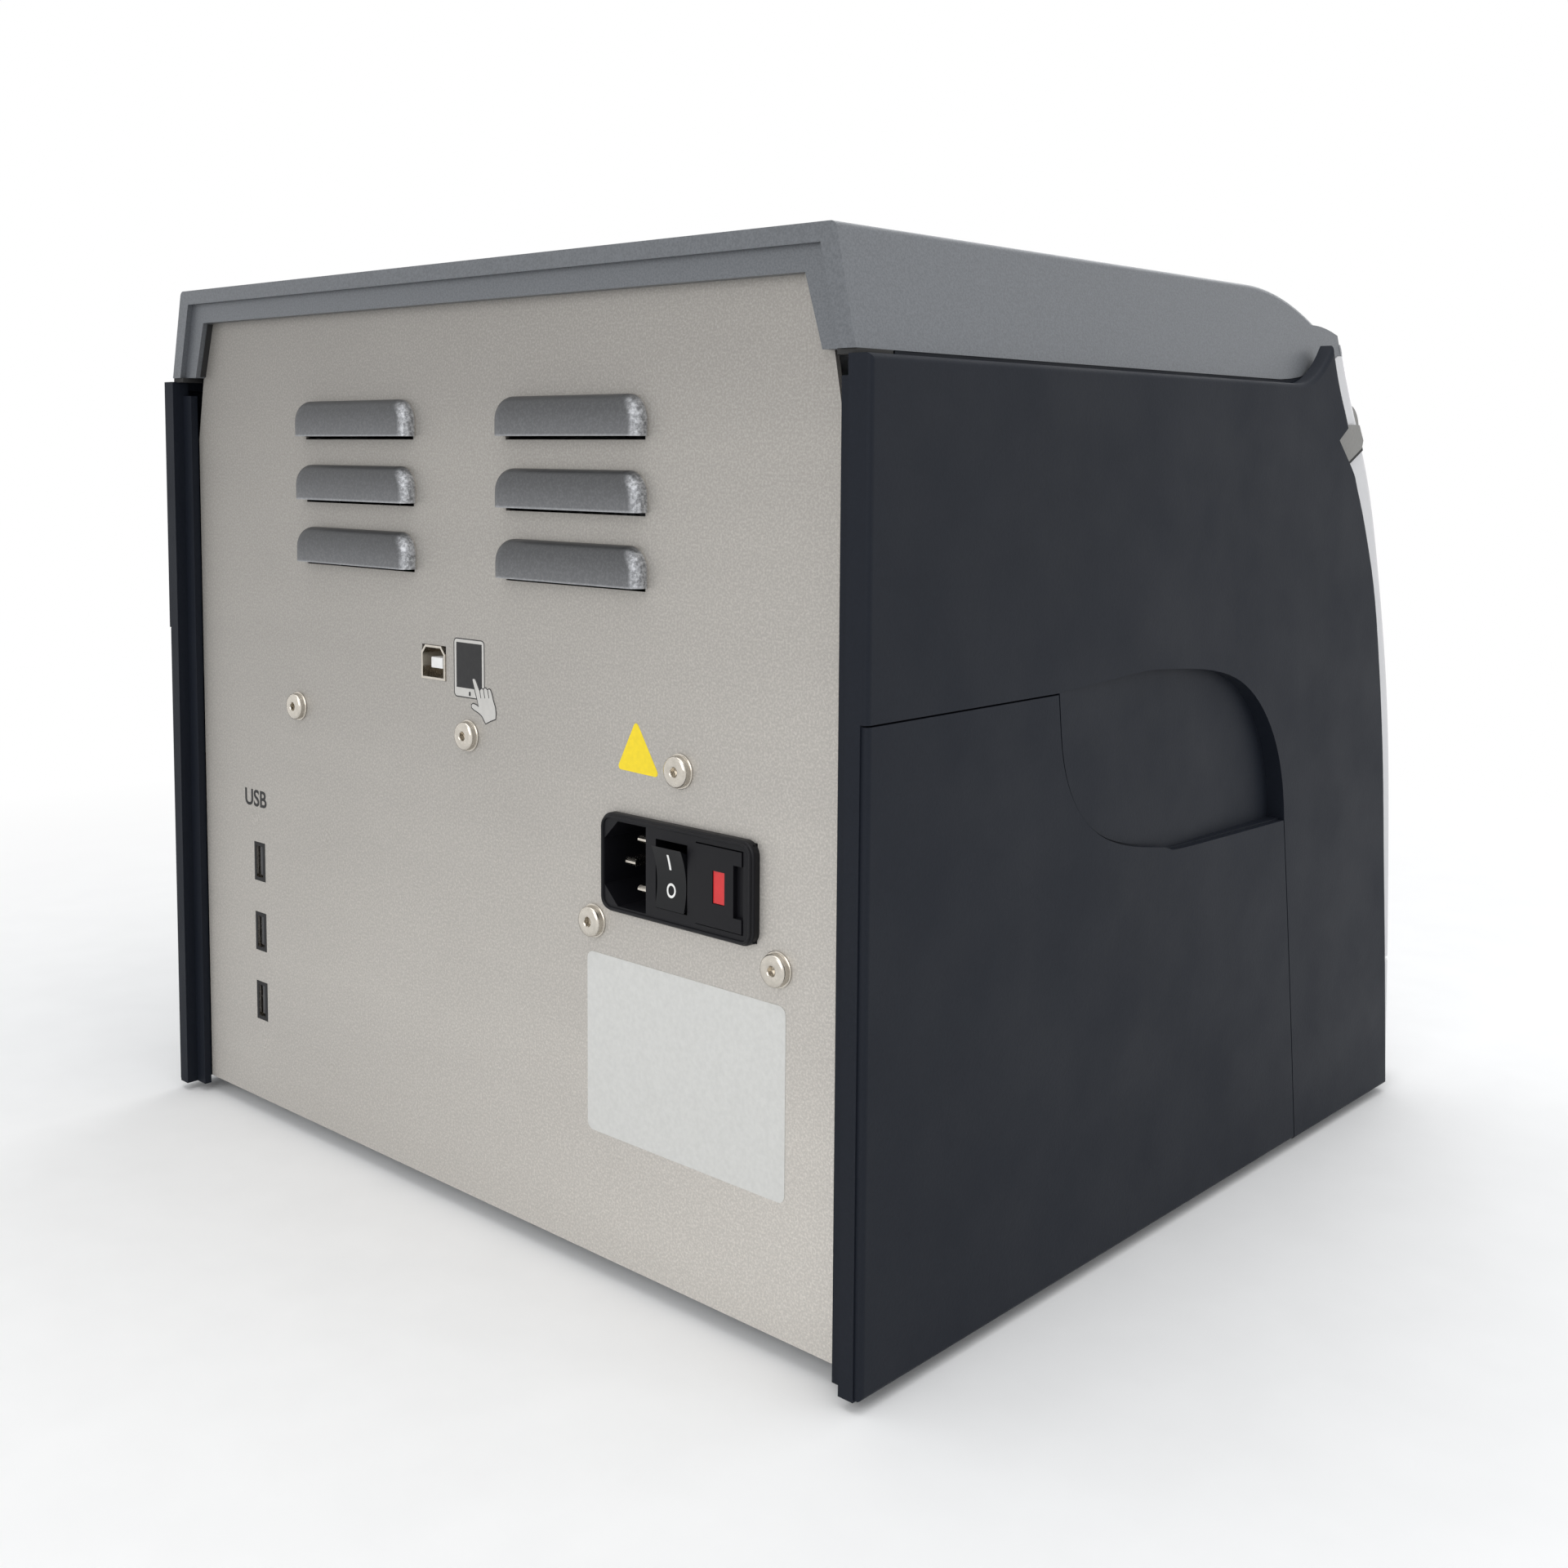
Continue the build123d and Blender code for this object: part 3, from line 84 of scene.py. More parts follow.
def grey(value):
    """A linear grey. It may be above 1 where it multiplies another colour."""
    return (value, value, value, 1.0)


# ------------------------------------------------------------ materials
NOISE_SPAN = (0.3, 0.7)     # where most values of a noise lie


class Nodes:
    """A thin helper for writing a material's node tree."""

    INPUTS = {"metallic": "Metallic", "ior": "IOR", "spec": "Specular IOR Level", "coat": "Coat Weight",
              "coat_rough": "Coat Roughness", "transmission": "Transmission Weight"}

    def __init__(self, name):
        self.mat = bpy.data.materials.new(name)
        self.mat.use_nodes = True
        self.tree = self.mat.node_tree
        self.bsdf = self.tree.nodes["Principled BSDF"]
        self.coord = self.tree.nodes.new("ShaderNodeTexCoord").outputs["Object"]

    def node(self, kind, **values):
        made = self.tree.nodes.new(kind)
        for key, value in values.items():
            setattr(made, key, value)
        return made

    def link(self, a, b):
        self.tree.links.new(a, b)

    def put(self, value, socket):
        """Links an output to a socket, or sets the socket to a plain value."""
        if hasattr(value, "is_output"):
            self.link(value, socket)
        else:
            socket.default_value = value

    def split(self, vector):
        """The X, Y and Z outputs of a vector."""
        node = self.node("ShaderNodeSeparateXYZ")
        self.link(vector, node.inputs[0])
        return node.outputs

    def stretched(self, scale):
        mapping = self.node("ShaderNodeMapping")
        mapping.inputs["Scale"].default_value = scale
        self.link(self.coord, mapping.inputs["Vector"])
        return mapping.outputs["Vector"]

    def noise(self, scale, detail=2.0, rough=0.5, vector=None):
        tex = self.node("ShaderNodeTexNoise")
        tex.inputs["Scale"].default_value = scale
        tex.inputs["Detail"].default_value = detail
        tex.inputs["Roughness"].default_value = rough
        self.link(vector or self.coord, tex.inputs["Vector"])
        return tex.outputs["Fac"]

    def spots(self, scale):
        tex = self.node("ShaderNodeTexVoronoi")
        tex.inputs["Scale"].default_value = scale
        self.link(self.coord, tex.inputs["Vector"])
        return tex.outputs["Distance"]

    def ramp(self, value, stops):
        """A colour by a value, from stops of (position, colour)."""
        stops = list(stops)
        ramp = self.node("ShaderNodeValToRGB")
        elements = ramp.color_ramp.elements
        while len(elements) < len(stops):
            elements.new(0.5)
        for element, (position, color) in zip(elements, stops):
            element.position = position
            element.color = color
        self.link(value, ramp.inputs["Fac"])
        return ramp.outputs["Color"]

    def tones(self, value, color, dark, light):
        """A colour between dark and light times itself, by the values of a noise."""
        return self.ramp(value, zip(NOISE_SPAN, (shade(color, dark), shade(color, light))))

    def remap(self, value, low, high, source=NOISE_SPAN):
        """Runs from low to high while the value runs over the source span."""
        node = self.node("ShaderNodeMapRange")
        node.inputs["From Min"].default_value = source[0]
        node.inputs["From Max"].default_value = source[1]
        node.inputs["To Min"].default_value = low
        node.inputs["To Max"].default_value = high
        self.link(value, node.inputs["Value"])
        return node.outputs["Result"]

    def mix(self, factor, a, b, blend="MIX"):
        node = self.node("ShaderNodeMix", data_type="RGBA", blend_type=blend)
        for value, socket in zip((factor, a, b), (0, 6, 7)):        # the sockets for colours
            self.put(value, node.inputs[socket])
        return node.outputs[2]

    def bump(self, heights):
        """A chain of bumps from (height output, strength, distance in metres)."""
        last = None
        for height, strength, distance in heights:
            node = self.node("ShaderNodeBump")
            node.inputs["Strength"].default_value = strength
            node.inputs["Distance"].default_value = distance
            self.link(height, node.inputs["Height"])
            if last:
                self.link(last, node.inputs["Normal"])
            last = node.outputs["Normal"]
        self.link(last, self.bsdf.inputs["Normal"])

    def set(self, **values):
        """Plain values of the shader's inputs, by the short names in INPUTS."""
        for key, value in values.items():
            self.bsdf.inputs[self.INPUTS[key]].default_value = value

    def finish(self, color, rough):
        self.put(color, self.bsdf.inputs["Base Color"])
        self.put(rough, self.bsdf.inputs["Roughness"])
        return self.mat


def moulded(name, color, rough, grain, depth=0.00006, strength=0.35, mottling=0.06, fleck=0.35, **more):
    """Injection-moulded plastic: spark-eroded grain, faint flow mottling, uneven gloss."""
    m = Nodes(name)
    m.set(**more)
    wide = m.noise(9.0, 3.0)
    fine = m.noise(grain, 2.0, 0.6)
    tint = m.tones(wide, color, 1 - mottling, 1 + mottling)
    tint = m.mix(m.remap(fine, 0.0, fleck), tint, shade(color, 1.35))
    m.bump([(fine, strength, depth), (m.noise(60.0, 2.0), 0.05, 0.0002)])
    return m.finish(tint, m.remap(m.noise(35.0, 4.0), rough - 0.05, rough + 0.06))


def louvre_height(m, z):
    """0 at the lower edge of each louvre, 1 at its top."""
    row = m.node("ShaderNodeMath", operation="WRAP")
    m.link(z, row.inputs[0])
    row.inputs[1].default_value = (LOUVRE_Z + LOUVRE_PITCH) * MM
    row.inputs[2].default_value = LOUVRE_Z * MM
    return m.remap(row.outputs[0], 0.0, 1.0, (LOUVRE_Z * MM, (LOUVRE_Z + LOUVRE_SHADED_HEIGHT) * MM))


def louvre_lip_highlight(m, z):
    """0.8 on the lower lip of each louvre, where a highlight is painted, 0 above it."""
    return m.remap(louvre_height(m, z), 0.8, 0.0, (0.05, 0.11))


def louvre_hood(m, z, facing_x, drawn):
    """A drawn hood's colour in painted shade, lighter low down, with a painted highlight on the lip and a
    glint on its -X end.
    """
    # painted shade: darker at the top of each hood, lighter low down
    hood = m.mix(louvre_height(m, z), shade(drawn, 1.2), shade(drawn, 0.55))
    # painted highlight along the lower lip
    hood = m.mix(louvre_lip_highlight(m, z), hood, shade(drawn, 2.6))
    # painted glint on the hoods' -X ends
    sparkle = m.remap(m.noise(900.0, 3.0, 0.7), 0.0, 1.0, (0.4, 0.62))
    glint = m.mix(sparkle, shade(drawn, 1.8), shade(drawn, 4.6))
    return m.mix(m.remap(facing_x, 0.75, 0.0, (-0.75, -0.15)), hood, glint)


SHEET_LIGHT_X, SHEET_LIGHT_Z = (-0.14, 0.14), (0.02, 0.27)      # metres over which the painted light and shade on the sheet run


def coated_sheet(name, color, drawn, rough=0.42, metallic=0.4, drawn_metallic=0.6):
    """Coated steel sheet: sparkling grain, faint rolled streaks, and painted light: lighter low down and
    towards -X.
    """
    m = Nodes(name)
    m.set(spec=0.4)
    place = m.split(m.coord)
    facing = m.split(m.node("ShaderNodeTexCoord").outputs["Normal"])
    proud = m.remap(place["Y"], 0.0, 1.0, ((REAR_Y + 0.15) * MM, (REAR_Y + 0.9) * MM))
    fleck = m.noise(1500.0, 1.0, 0.7)
    roll = m.noise(3.2, 3.0, 0.55, m.stretched((1.0, 1.0, 7.0)))
    haze = m.noise(5.0, 4.0, 0.6)
    up = m.remap(place["Z"], 0.0, 1.0, SHEET_LIGHT_Z)
    across = m.remap(place["X"], 0.0, 1.0, SHEET_LIGHT_X)
    # painted light and shade: lighter low down and towards -X, darker towards the top and +X
    tint = m.mix(1.0, m.ramp(up, [(0.0, shade(color, 1.2)), (1.0, shade(color, 0.68))]),
                 m.ramp(across, [(0.0, grey(1.09)), (1.0, grey(0.87))]), "MULTIPLY")
    tint = m.mix(m.remap(roll, 0.0, 0.5), tint, (0.84, 0.84, 0.85, 1), "MULTIPLY")
    tint = m.mix(m.remap(haze, 0.0, 0.4), tint, grey(0.88), "MULTIPLY")
    # the hoods in painted shade, with their painted highlight and glint
    tint = m.mix(proud, tint, louvre_hood(m, place["Z"], facing["X"], drawn))
    tint = m.mix(m.remap(fleck, 0.0, 0.5, (0.42, 0.7)), tint, grey(1.5), "MULTIPLY")
    m.put(m.remap(proud, metallic, drawn_metallic, (0.0, 1.0)), m.bsdf.inputs["Metallic"])
    m.bump([(fleck, 0.3, 0.00005), (m.noise(420.0, 2.0), 0.12, 0.00005)])
    return m.finish(tint, m.remap(haze, rough - 0.05, rough + 0.08))


def metallic_paint(name, color, rough=0.42, metallic=0.5):
    """Silver-grey sprayed paint with fine flake."""
    m = Nodes(name)
    m.set(metallic=metallic, coat=0.12, coat_rough=0.35)
    flake = m.noise(1700.0, 1.0, 0.8)
    cloud = m.noise(6.0, 3.0)
    tint = m.tones(cloud, color, 0.95, 1.05)
    tint = m.mix(m.remap(flake, 0.0, 0.6, (0.35, 0.65)), tint, shade(color, 1.45))
    m.bump([(flake, 0.12, 0.00003), (m.noise(140.0, 2.0), 0.05, 0.00008)])
    return m.finish(tint, m.remap(cloud, rough - 0.03, rough + 0.05))


def machined(name, color, rough, stretch, metallic, lines):
    """Bare metal with fine directional tool marks."""
    m = Nodes(name)
    m.set(metallic=metallic)
    streak = m.noise(lines, 3.0, 0.6, m.stretched(stretch))
    m.bump([(streak, 0.12, 0.00003)])
    return m.finish(m.tones(streak, color, 0.88, 1.06), m.remap(streak, rough - 0.06, rough + 0.08))


def printed(name, color, rough):
    """Flat ink or label film with a slightly uneven, dusty surface."""
    m = Nodes(name)
    film = m.noise(700.0, 3.0, 0.6)
    m.bump([(film, 0.05, 0.00002)])
    return m.finish(m.tones(film, color, 0.95, 1.04), m.remap(film, rough - 0.04, rough + 0.05))


def circuit_board(name):
    """Green solder mask over a web of tracks."""
    m = Nodes(name)
    m.set(coat=0.4, coat_rough=0.2)
    tracks = m.spots(420.0)
    tint = m.ramp(tracks, [(0.0, lin(150, 140, 90)), (0.12, lin(20, 88, 48)), (0.5, lin(14, 70, 38)),
                           (1.0, lin(26, 98, 58))])
    m.bump([(tracks, 0.2, 0.00005)])
    return m.finish(tint, m.remap(m.noise(90.0), 0.35, 0.5))


def fuse_glass(name):
    """Clear tube glass, slightly uneven in tint."""
    m = Nodes(name)
    m.set(transmission=0.85, ior=1.48)
    return m.finish(m.ramp(m.noise(30.0), zip(NOISE_SPAN, (lin(226, 232, 232), lin(240, 244, 244)))), 0.06)


LOOKS = {
    "cover_paint": metallic_paint("cover_paint_look", lin(100, 103, 107)),
    "side_plastic": moulded("side_plastic_look", lin(22, 26, 34), 0.56, 1100.0, depth=0.00008, strength=0.5,
                            spec=0.16),
    "skin_plastic": moulded("skin_plastic_look", lin(204, 204, 206), 0.34, 500.0, depth=0.00001,
                            strength=0.05, mottling=0.012, fleck=0.05, coat=0.08, coat_rough=0.08),
    "liner_plastic": moulded("liner_plastic_look", lin(206, 207, 206), 0.45, 900.0, mottling=0.03,
                             fleck=0.12),
    "cap_plastic": moulded("cap_plastic_look", lin(122, 121, 118), 0.45, 900.0),
    # the second colour is the louvre hoods: the same sheet, painted darker as shade
    "rear_sheet": coated_sheet("rear_sheet_look", lin(179, 175, 169), lin(101, 102, 104)),
    "frame_sheet": machined("frame_sheet_look", lin(196, 198, 200), 0.38, (1.0, 1.0, 14.0), 0.9, 90.0),
    "nickel": machined("nickel_look", lin(206, 200, 190), 0.22, (1.0, 6.0, 1.0), 1.0, 500.0),
    "bright_steel": machined("bright_steel_look", lin(208, 210, 212), 0.16, (1.0, 1.0, 1.0), 1.0, 600.0),
    "plate_aluminium": machined("plate_aluminium_look", lin(200, 202, 205), 0.36, (12.0, 1.0, 1.0), 1.0,
                                60.0),
    "heater_aluminium": machined("heater_aluminium_look", lin(176, 178, 182), 0.42, (1.0, 12.0, 1.0), 1.0,
                                 60.0),
    "bronze": machined("bronze_look", lin(190, 150, 92), 0.3, (1.0, 1.0, 9.0), 1.0, 200.0),
    "motor_black": moulded("motor_black_look", lin(30, 30, 32), 0.42, 700.0, mottling=0.1),
    "black_plastic": moulded("black_plastic_look", lin(13, 13, 17), 0.42, 800.0, depth=0.00004,
                             strength=0.3, spec=0.22),
    "dark_plastic": moulded("dark_plastic_look", lin(58, 60, 64), 0.5, 800.0),
    "rocker_plastic": moulded("rocker_plastic_look", lin(12, 13, 16), 0.34, 600.0, depth=0.00002,
                              strength=0.15, spec=0.25),
    "red_plastic": moulded("red_plastic_look", lin(198, 40, 42), 0.3, 600.0, depth=0.00002, strength=0.15,
                           mottling=0.1),
    "rod_plastic": moulded("rod_plastic_look", lin(70, 72, 76), 0.26, 600.0, depth=0.00002, strength=0.12),
    "board": circuit_board("board_look"),
    "foot_rubber": moulded("foot_rubber_look", lin(28, 28, 28), 0.75, 500.0, depth=0.0001, strength=0.5),
    "fuse_glass": fuse_glass("fuse_glass_look"),
}
PORT_TONGUE = moulded("port_tongue_look", lin(232, 232, 230), 0.4, 600.0)
PORT_BLACK = moulded("port_black_look", lin(15, 15, 17), 0.45, 600.0, spec=0.25)
PORT_GREY = moulded("port_grey_look", lin(66, 67, 70), 0.4, 600.0)
GOLD = machined("contact_gold_look", lin(214, 176, 96), 0.25, (1.0, 8.0, 1.0), 1.0, 300.0)
INK = printed("ink_look", lin(20, 20, 22), 0.55)
WHITE_INK = printed("white_ink_look", lin(236, 236, 234), 0.5)
YELLOW = printed("yellow_film_look", lin(242, 214, 26), 0.4)
LABEL = printed("label_film_look", lin(206, 206, 203), 0.38)
PALE_INK = printed("pale_ink_look", lin(196, 194, 190), 0.45)

for subpart in frame["record"]["subparts"]:
    dressed = NODES[subpart["node"]].data.materials
    dressed.clear()
    dressed.append(LOOKS[subpart["material_slot"]])


def soften(names, width, segments, angle):
    """A small edge radius, width in mm, on the edges of solids that turn by more than angle degrees."""
    for name in names:
        bevel = NODES[name].modifiers.new("edge", "BEVEL")
        bevel.width = width * MM
        bevel.segments = segments
        bevel.limit_method = "ANGLE"
        bevel.angle_limit = math.radians(angle)


# ------------------------------------------------------------ mesh helpers
def add_object(name, data):
    """A new object in the scene."""
    obj = bpy.data.objects.new(name, data)
    bpy.context.scene.collection.objects.link(obj)
    return obj


def piece(name, build, material, body, smooth=30.0):
    """A named mesh that rides on a body. Edges that turn by more than smooth degrees are sharp."""
    mesh = bpy.data.meshes.new(name)
    bm = bmesh.new()
    build(bm)
    bmesh.ops.remove_doubles(bm, verts=bm.verts, dist=1e-7)
    bmesh.ops.recalc_face_normals(bm, faces=bm.faces)
    bm.to_mesh(mesh)
    bm.free()
    obj = add_object(name, mesh)
    mesh.materials.append(material)
    mesh.polygons.foreach_set("use_smooth", [True] * len(mesh.polygons))
    mesh.set_sharp_from_angle(angle=math.radians(smooth))
    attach(obj, body)
    return obj


def ring(bm, outline, y):
    """Points on the rear, at y, from an outline of (x, z) in mm."""
    return [bm.verts.new((x * MM, y * MM, z * MM)) for x, z in outline]


def wall(bm, a, b):
    """Faces between two closed rings with the same number of points."""
    for i in range(len(a)):
        j = (i + 1) % len(a)
        bm.faces.new((a[i], a[j], b[j], b[i]))


def rear_plate(bm, outline, y, thick):
    """A flat plate on the rear, its back at y, standing thick mm towards +Y."""
    back, front = ring(bm, outline, y), ring(bm, outline, y + thick)
    bm.faces.new(back)
    bm.faces.new(front[::-1])
    wall(bm, front, back)


def band(bm, sections, y):
    """A band on the rear: a closed chain of outlines, each with its height over y in mm."""
    rings = [ring(bm, outline, y + height) for outline, height in sections]
    for a, b in zip(rings, rings[1:] + rings[:1]):
        wall(bm, a, b)


def ring_plate(bm, outer, inner, y, thick):
    """A flat frame on the rear, between two outlines with the same number of points."""
    band(bm, [(outer, 0.0), (outer, thick), (inner, thick), (inner, 0.0)], y)


def box_outline(x0, x1, z0, z1):
    """The four corners of a box, as (x, z)."""
    return [(x0, z0), (x1, z0), (x1, z1), (x0, z1)]


def rounded(points, radius, steps=6):
    """An outline with each corner rounded, in steps."""
    out = []
    count = len(points)
    for i in range(count):
        here = Vector(points[i])
        before = (Vector(points[i - 1]) - here).normalized()
        after = (Vector(points[(i + 1) % count]) - here).normalized()
        angle = before.angle(after)
        reach = radius / math.tan(angle / 2)
        centre = here + (before + after).normalized() * (radius / math.sin(angle / 2))
        start = here + before * reach - centre
        end = here + after * reach - centre
        turn = start.angle_signed(end)
        for k in range(steps + 1):
            out.append(tuple(centre + Matrix.Rotation(-turn * k / steps, 2) @ start))
    return out


def shrink(points, amount):
    """Moves each point of an outline inwards along its bisector."""
    area = sum(a[0] * b[1] - b[0] * a[1] for a, b in zip(points, points[1:] + points[:1]))
    side = 1.0 if area > 0 else -1.0
    out = []
    for i, here in enumerate(points):
        a = (Vector(here) - Vector(points[i - 1])).normalized()
        b = (Vector(points[(i + 1) % len(points)]) - Vector(here)).normalized()
        normal = (Vector((-a.y, a.x)) + Vector((-b.y, b.x))).normalized() * side
        out.append(tuple(Vector(here) + normal * amount))
    return out


def stroke(points, width):
    """A line of even width through points, as a closed outline."""
    left, right = [], []
    for i, here in enumerate(points):
        a = Vector(points[max(i - 1, 0)])
        b = Vector(points[min(i + 1, len(points) - 1)])
        side = (b - a).normalized().orthogonal() * width / 2
        left.append(tuple(Vector(here) + side))
        right.append(tuple(Vector(here) - side))
    return left + right[::-1]


def lathe(bm, profile, centre, steps, phase=0.0):
    """Turned form about +Y at centre: profile of (radius, y) in mm, closed where it ends at radius 0."""
    rings = []
    cx, cy, cz = centre
    for radius, y in profile:
        if radius == 0.0:
            rings.append(ring(bm, [(cx, cz)], cy + y))
            continue
        angles = [phase + 2 * math.pi * k / steps for k in range(steps)]
        circle = [(cx + radius * math.cos(a), cz + radius * math.sin(a)) for a in angles]
        rings.append(ring(bm, circle, cy + y))
    for a, b in zip(rings, rings[1:]):
        if len(b) > 1:
            wall(bm, a, b)
            continue
        for k in range(steps):
            bm.faces.new((a[k], a[(k + 1) % steps], b[0]))


def slab(bm, low, high, bevel=0.0):
    """A block between two corners, with edges bevelled by bevel, in mm."""
    made = bmesh.ops.create_cube(bm, size=1.0)["verts"]
    size = [(h - l) * MM for l, h in zip(low, high)]
    middle = [(h + l) / 2 * MM for l, h in zip(low, high)]
    for vert in made:
        vert.co = Vector([c * length + place for c, length, place in zip(vert.co, size, middle)])
    if bevel:
        edges = {e for v in made for e in v.link_edges}
        bmesh.ops.bevel(bm, geom=list(edges), offset=bevel * MM, segments=2, affect="EDGES", profile=0.6)


# ------------------------------------------------------------ rear: fasteners
# a thick button head on a washer, its hexagon socket and the socket's edge: (radius, height over the sheet)
HEAD = [(4.75, 0.02), (4.85, 0.12), (4.85, 0.42), (4.7, 0.55), (4.45, 0.58), (4.4, 0.7), (4.4, 1.75),
        (4.3, 2.15), (4.0, 2.5), (3.5, 2.68), (2.6, 2.78), (1.75, 2.8), (1.55, 2.72)]
SOCKET = [(1.5, 2.66), (1.42, 0.9), (0.0, 0.7)]
SOCKET_EDGE = [(1.56, 2.74), (1.28, 2.5)]
STUD_MARK = [(2.75, 0.0), (2.7, 0.07), (2.2, 0.1), (2.05, 0.02), (1.6, 0.03), (1.5, 0.1), (0.6, 0.12),
             (0.0, 0.12)]
HEAD_STEPS, HEX_STEPS, STUD_STEPS = 64, 6, 32


def rear_screw_set(bm):
    """The screws of the rear sheet, each socket turned its own way."""
    for x, z in REAR_SCREWS:
        place = (x, REAR_Y, z)
        lathe(bm, HEAD, place, HEAD_STEPS)
        lathe(bm, SOCKET, place, HEX_STEPS, math.radians(13 + 31 * math.sin(x)))
        lathe(bm, SOCKET_EDGE, place, HEAD_STEPS)


def stud_marks(bm):
    """Faint pressed rings where the studs sit behind the sheet."""
    for x, z in REAR_STUDS:
        lathe(bm, STUD_MARK, (x, REAR_Y, z), STUD_STEPS)


screws = piece("rear_button_screws", rear_screw_set, LOOKS["nickel"], "chassis")
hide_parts("rear_screws")
piece("rear_stud_marks", stud_marks, LOOKS["rear_sheet"], "chassis")


# ------------------------------------------------------------ rear: markings
MARK_T = 0.06               # thickness of an ink film
USB_HEIGHT, USB_SPREAD = 8.2, 0.13
USB_X, USB_Z = 118.7, 114.0
TABLET = (-11.0, 4.0, 161.9, 180.0)         # x0, x1, z0, z1, as for the boxes below
TABLET_CORNER, TABLET_LINE = 1.5, 0.32
SCREEN = (-9.7, 2.7, 164.9, 178.7)
BUTTON, BUTTON_CORNER = (-4.2, -3.3, 162.6, 164.0), 0.42
# a pointing hand: finger tip, thumb, wrist, back of the hand and three knuckles
HAND = [(-5.35, 168.3), (-4.9, 167.9), (-5.1, 167.2), (-5.75, 165.45), (-6.4, 163.75), (-7.1, 162.05),
        (-7.9, 159.95), (-6.9, 160.55), (-5.3, 160.75), (-4.4, 160.15), (-4.5, 159.1), (-5.65, 158.45),
        (-7.85, 157.8), (-9.45, 157.0), (-10.45, 155.85), (-11.35, 154.8), (-13.85, 155.85),
        (-16.3, 156.75), (-16.55, 158.5), (-16.25, 160.5), (-15.35, 162.4), (-14.55, 164.55),
        (-13.9, 165.6), (-13.1, 165.95), (-12.4, 165.5), (-11.75, 165.95), (-11.0, 166.05), (-10.4, 165.5),
        (-9.8, 165.7), (-9.1, 165.55), (-8.6, 164.85), (-8.15, 165.7), (-7.45, 166.95), (-6.75, 168.0),
        (-6.1, 168.4)]
HAND_LINE = 0.3
FINGER_CREASES = ([(-8.6, 164.9), (-9.2, 162.5)], [(-10.4, 165.5), (-11.1, 162.7)],
                  [(-12.4, 165.5), (-13.05, 162.9)])
CREASE = 0.28
TRIANGLE, TRIANGLE_CORNER = [(-77.4, 163.4), (-69.7, 148.9), (-86.9, 148.4)], 1.0
RATING_PLATE, PLATE_CORNER, PLATE_T = (-133.7, -57.2, 42.7, 95.0), 2.4, 0.12


def usb_letters():
    """The port marking, as font outlines turned into a thin mesh."""
    curve = bpy.data.curves.new("usb_mark", "FONT")
    curve.body = "USB"
    curve.size = USB_HEIGHT * MM
    curve.extrude = MARK_T / 2 * MM
    curve.offset = USB_SPREAD * MM
    curve.align_x = "CENTER"
    curve.align_y = "CENTER"
    obj = add_object("usb_mark", curve)
    obj.rotation_euler = (math.radians(90), 0, math.radians(180))
    obj.location = (USB_X * MM, (REAR_Y + 0.05) * MM, USB_Z * MM)
    bpy.context.view_layer.update()
    mesh = bpy.data.meshes.new_from_object(obj.evaluated_get(bpy.context.evaluated_depsgraph_get()))
    mesh.transform(obj.matrix_world)
    bpy.data.objects.remove(obj)
    text = add_object("usb_mark", mesh)
    mesh.materials.clear()
    mesh.materials.append(INK)
    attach(text, "chassis")


usb_letters()


def tablet_body(bm):
    rear_plate(bm, rounded(box_outline(*TABLET), TABLET_CORNER), REAR_Y, MARK_T)


def tablet_line(bm):
    outer = rounded(box_outline(*TABLET), TABLET_CORNER)
    ring_plate(bm, outer, shrink(outer, TABLET_LINE), REAR_Y + MARK_T, MARK_T / 2)


def tablet_screen(bm):
    """The screen and the button under it."""
    rear_plate(bm, box_outline(*SCREEN), REAR_Y + MARK_T, MARK_T / 2)
    rear_plate(bm, rounded(box_outline(*BUTTON), BUTTON_CORNER), REAR_Y + MARK_T, MARK_T / 2)


def hand_fill(bm):
    rear_plate(bm, HAND, REAR_Y + 1.5 * MARK_T, MARK_T / 2)


def hand_line(bm):
    """The outline of the hand and the creases between its fingers."""
    ring_plate(bm, HAND, shrink(HAND, HAND_LINE), REAR_Y + 2 * MARK_T, MARK_T / 2)
    for line in FINGER_CREASES:
        rear_plate(bm, stroke(line, CREASE), REAR_Y + 2 * MARK_T, MARK_T / 2)


def triangle_plate(bm):
    rear_plate(bm, rounded(TRIANGLE, TRIANGLE_CORNER), REAR_Y, MARK_T)


def label_plate(bm):
    """Blank rating plate."""
    rear_plate(bm, rounded(box_outline(*RATING_PLATE), PLATE_CORNER), REAR_Y, PLATE_T)


piece("tablet_body_mark", tablet_body, PALE_INK, "chassis")
piece("tablet_line_mark", tablet_line, INK, "chassis")
piece("tablet_screen_mark", tablet_screen, INK, "chassis")
piece("hand_fill_mark", hand_fill, PALE_INK, "chassis")
piece("hand_line_mark", hand_line, INK, "chassis")
piece("yellow_triangle", triangle_plate, YELLOW, "chassis")
piece("blank_label", label_plate, LABEL, "chassis")


# ------------------------------------------------------------ rear: inlet and port details
ROCKER_X, ROCKER_Z, ROCKER_PIVOT_Y = -94.0, 122.8, 156.9
ROCKER_TILT = math.radians(4.5)
ROCKER_HOLLOW = 0.0203      # rise of the rocker's hollow face, times the square of the height in mm
ROCKER_INK = 0.05           # lift of the ink over that face
I_LOW, I_HEIGHT, I_HALF_W, I_STEPS = 2.3, 4.4, 0.38, 8
O_MIDDLE, O_RADII, O_STRETCH, O_STEPS = -3.4, (1.15, 1.72), 1.16, 40
RIM_CORNER = 3.8
RIM = [(0.3, 0.0), (0.42, 0.5), (0.55, 0.6), (0.95, 0.6), (1.08, 0.5), (1.2, 0.0)]      # (inset, height)
DEVICE_BLOCK = (11.2, 148.2, 169.5), (17.0, 158.35, 172.9)      # opposite corners, as (x, y, z)
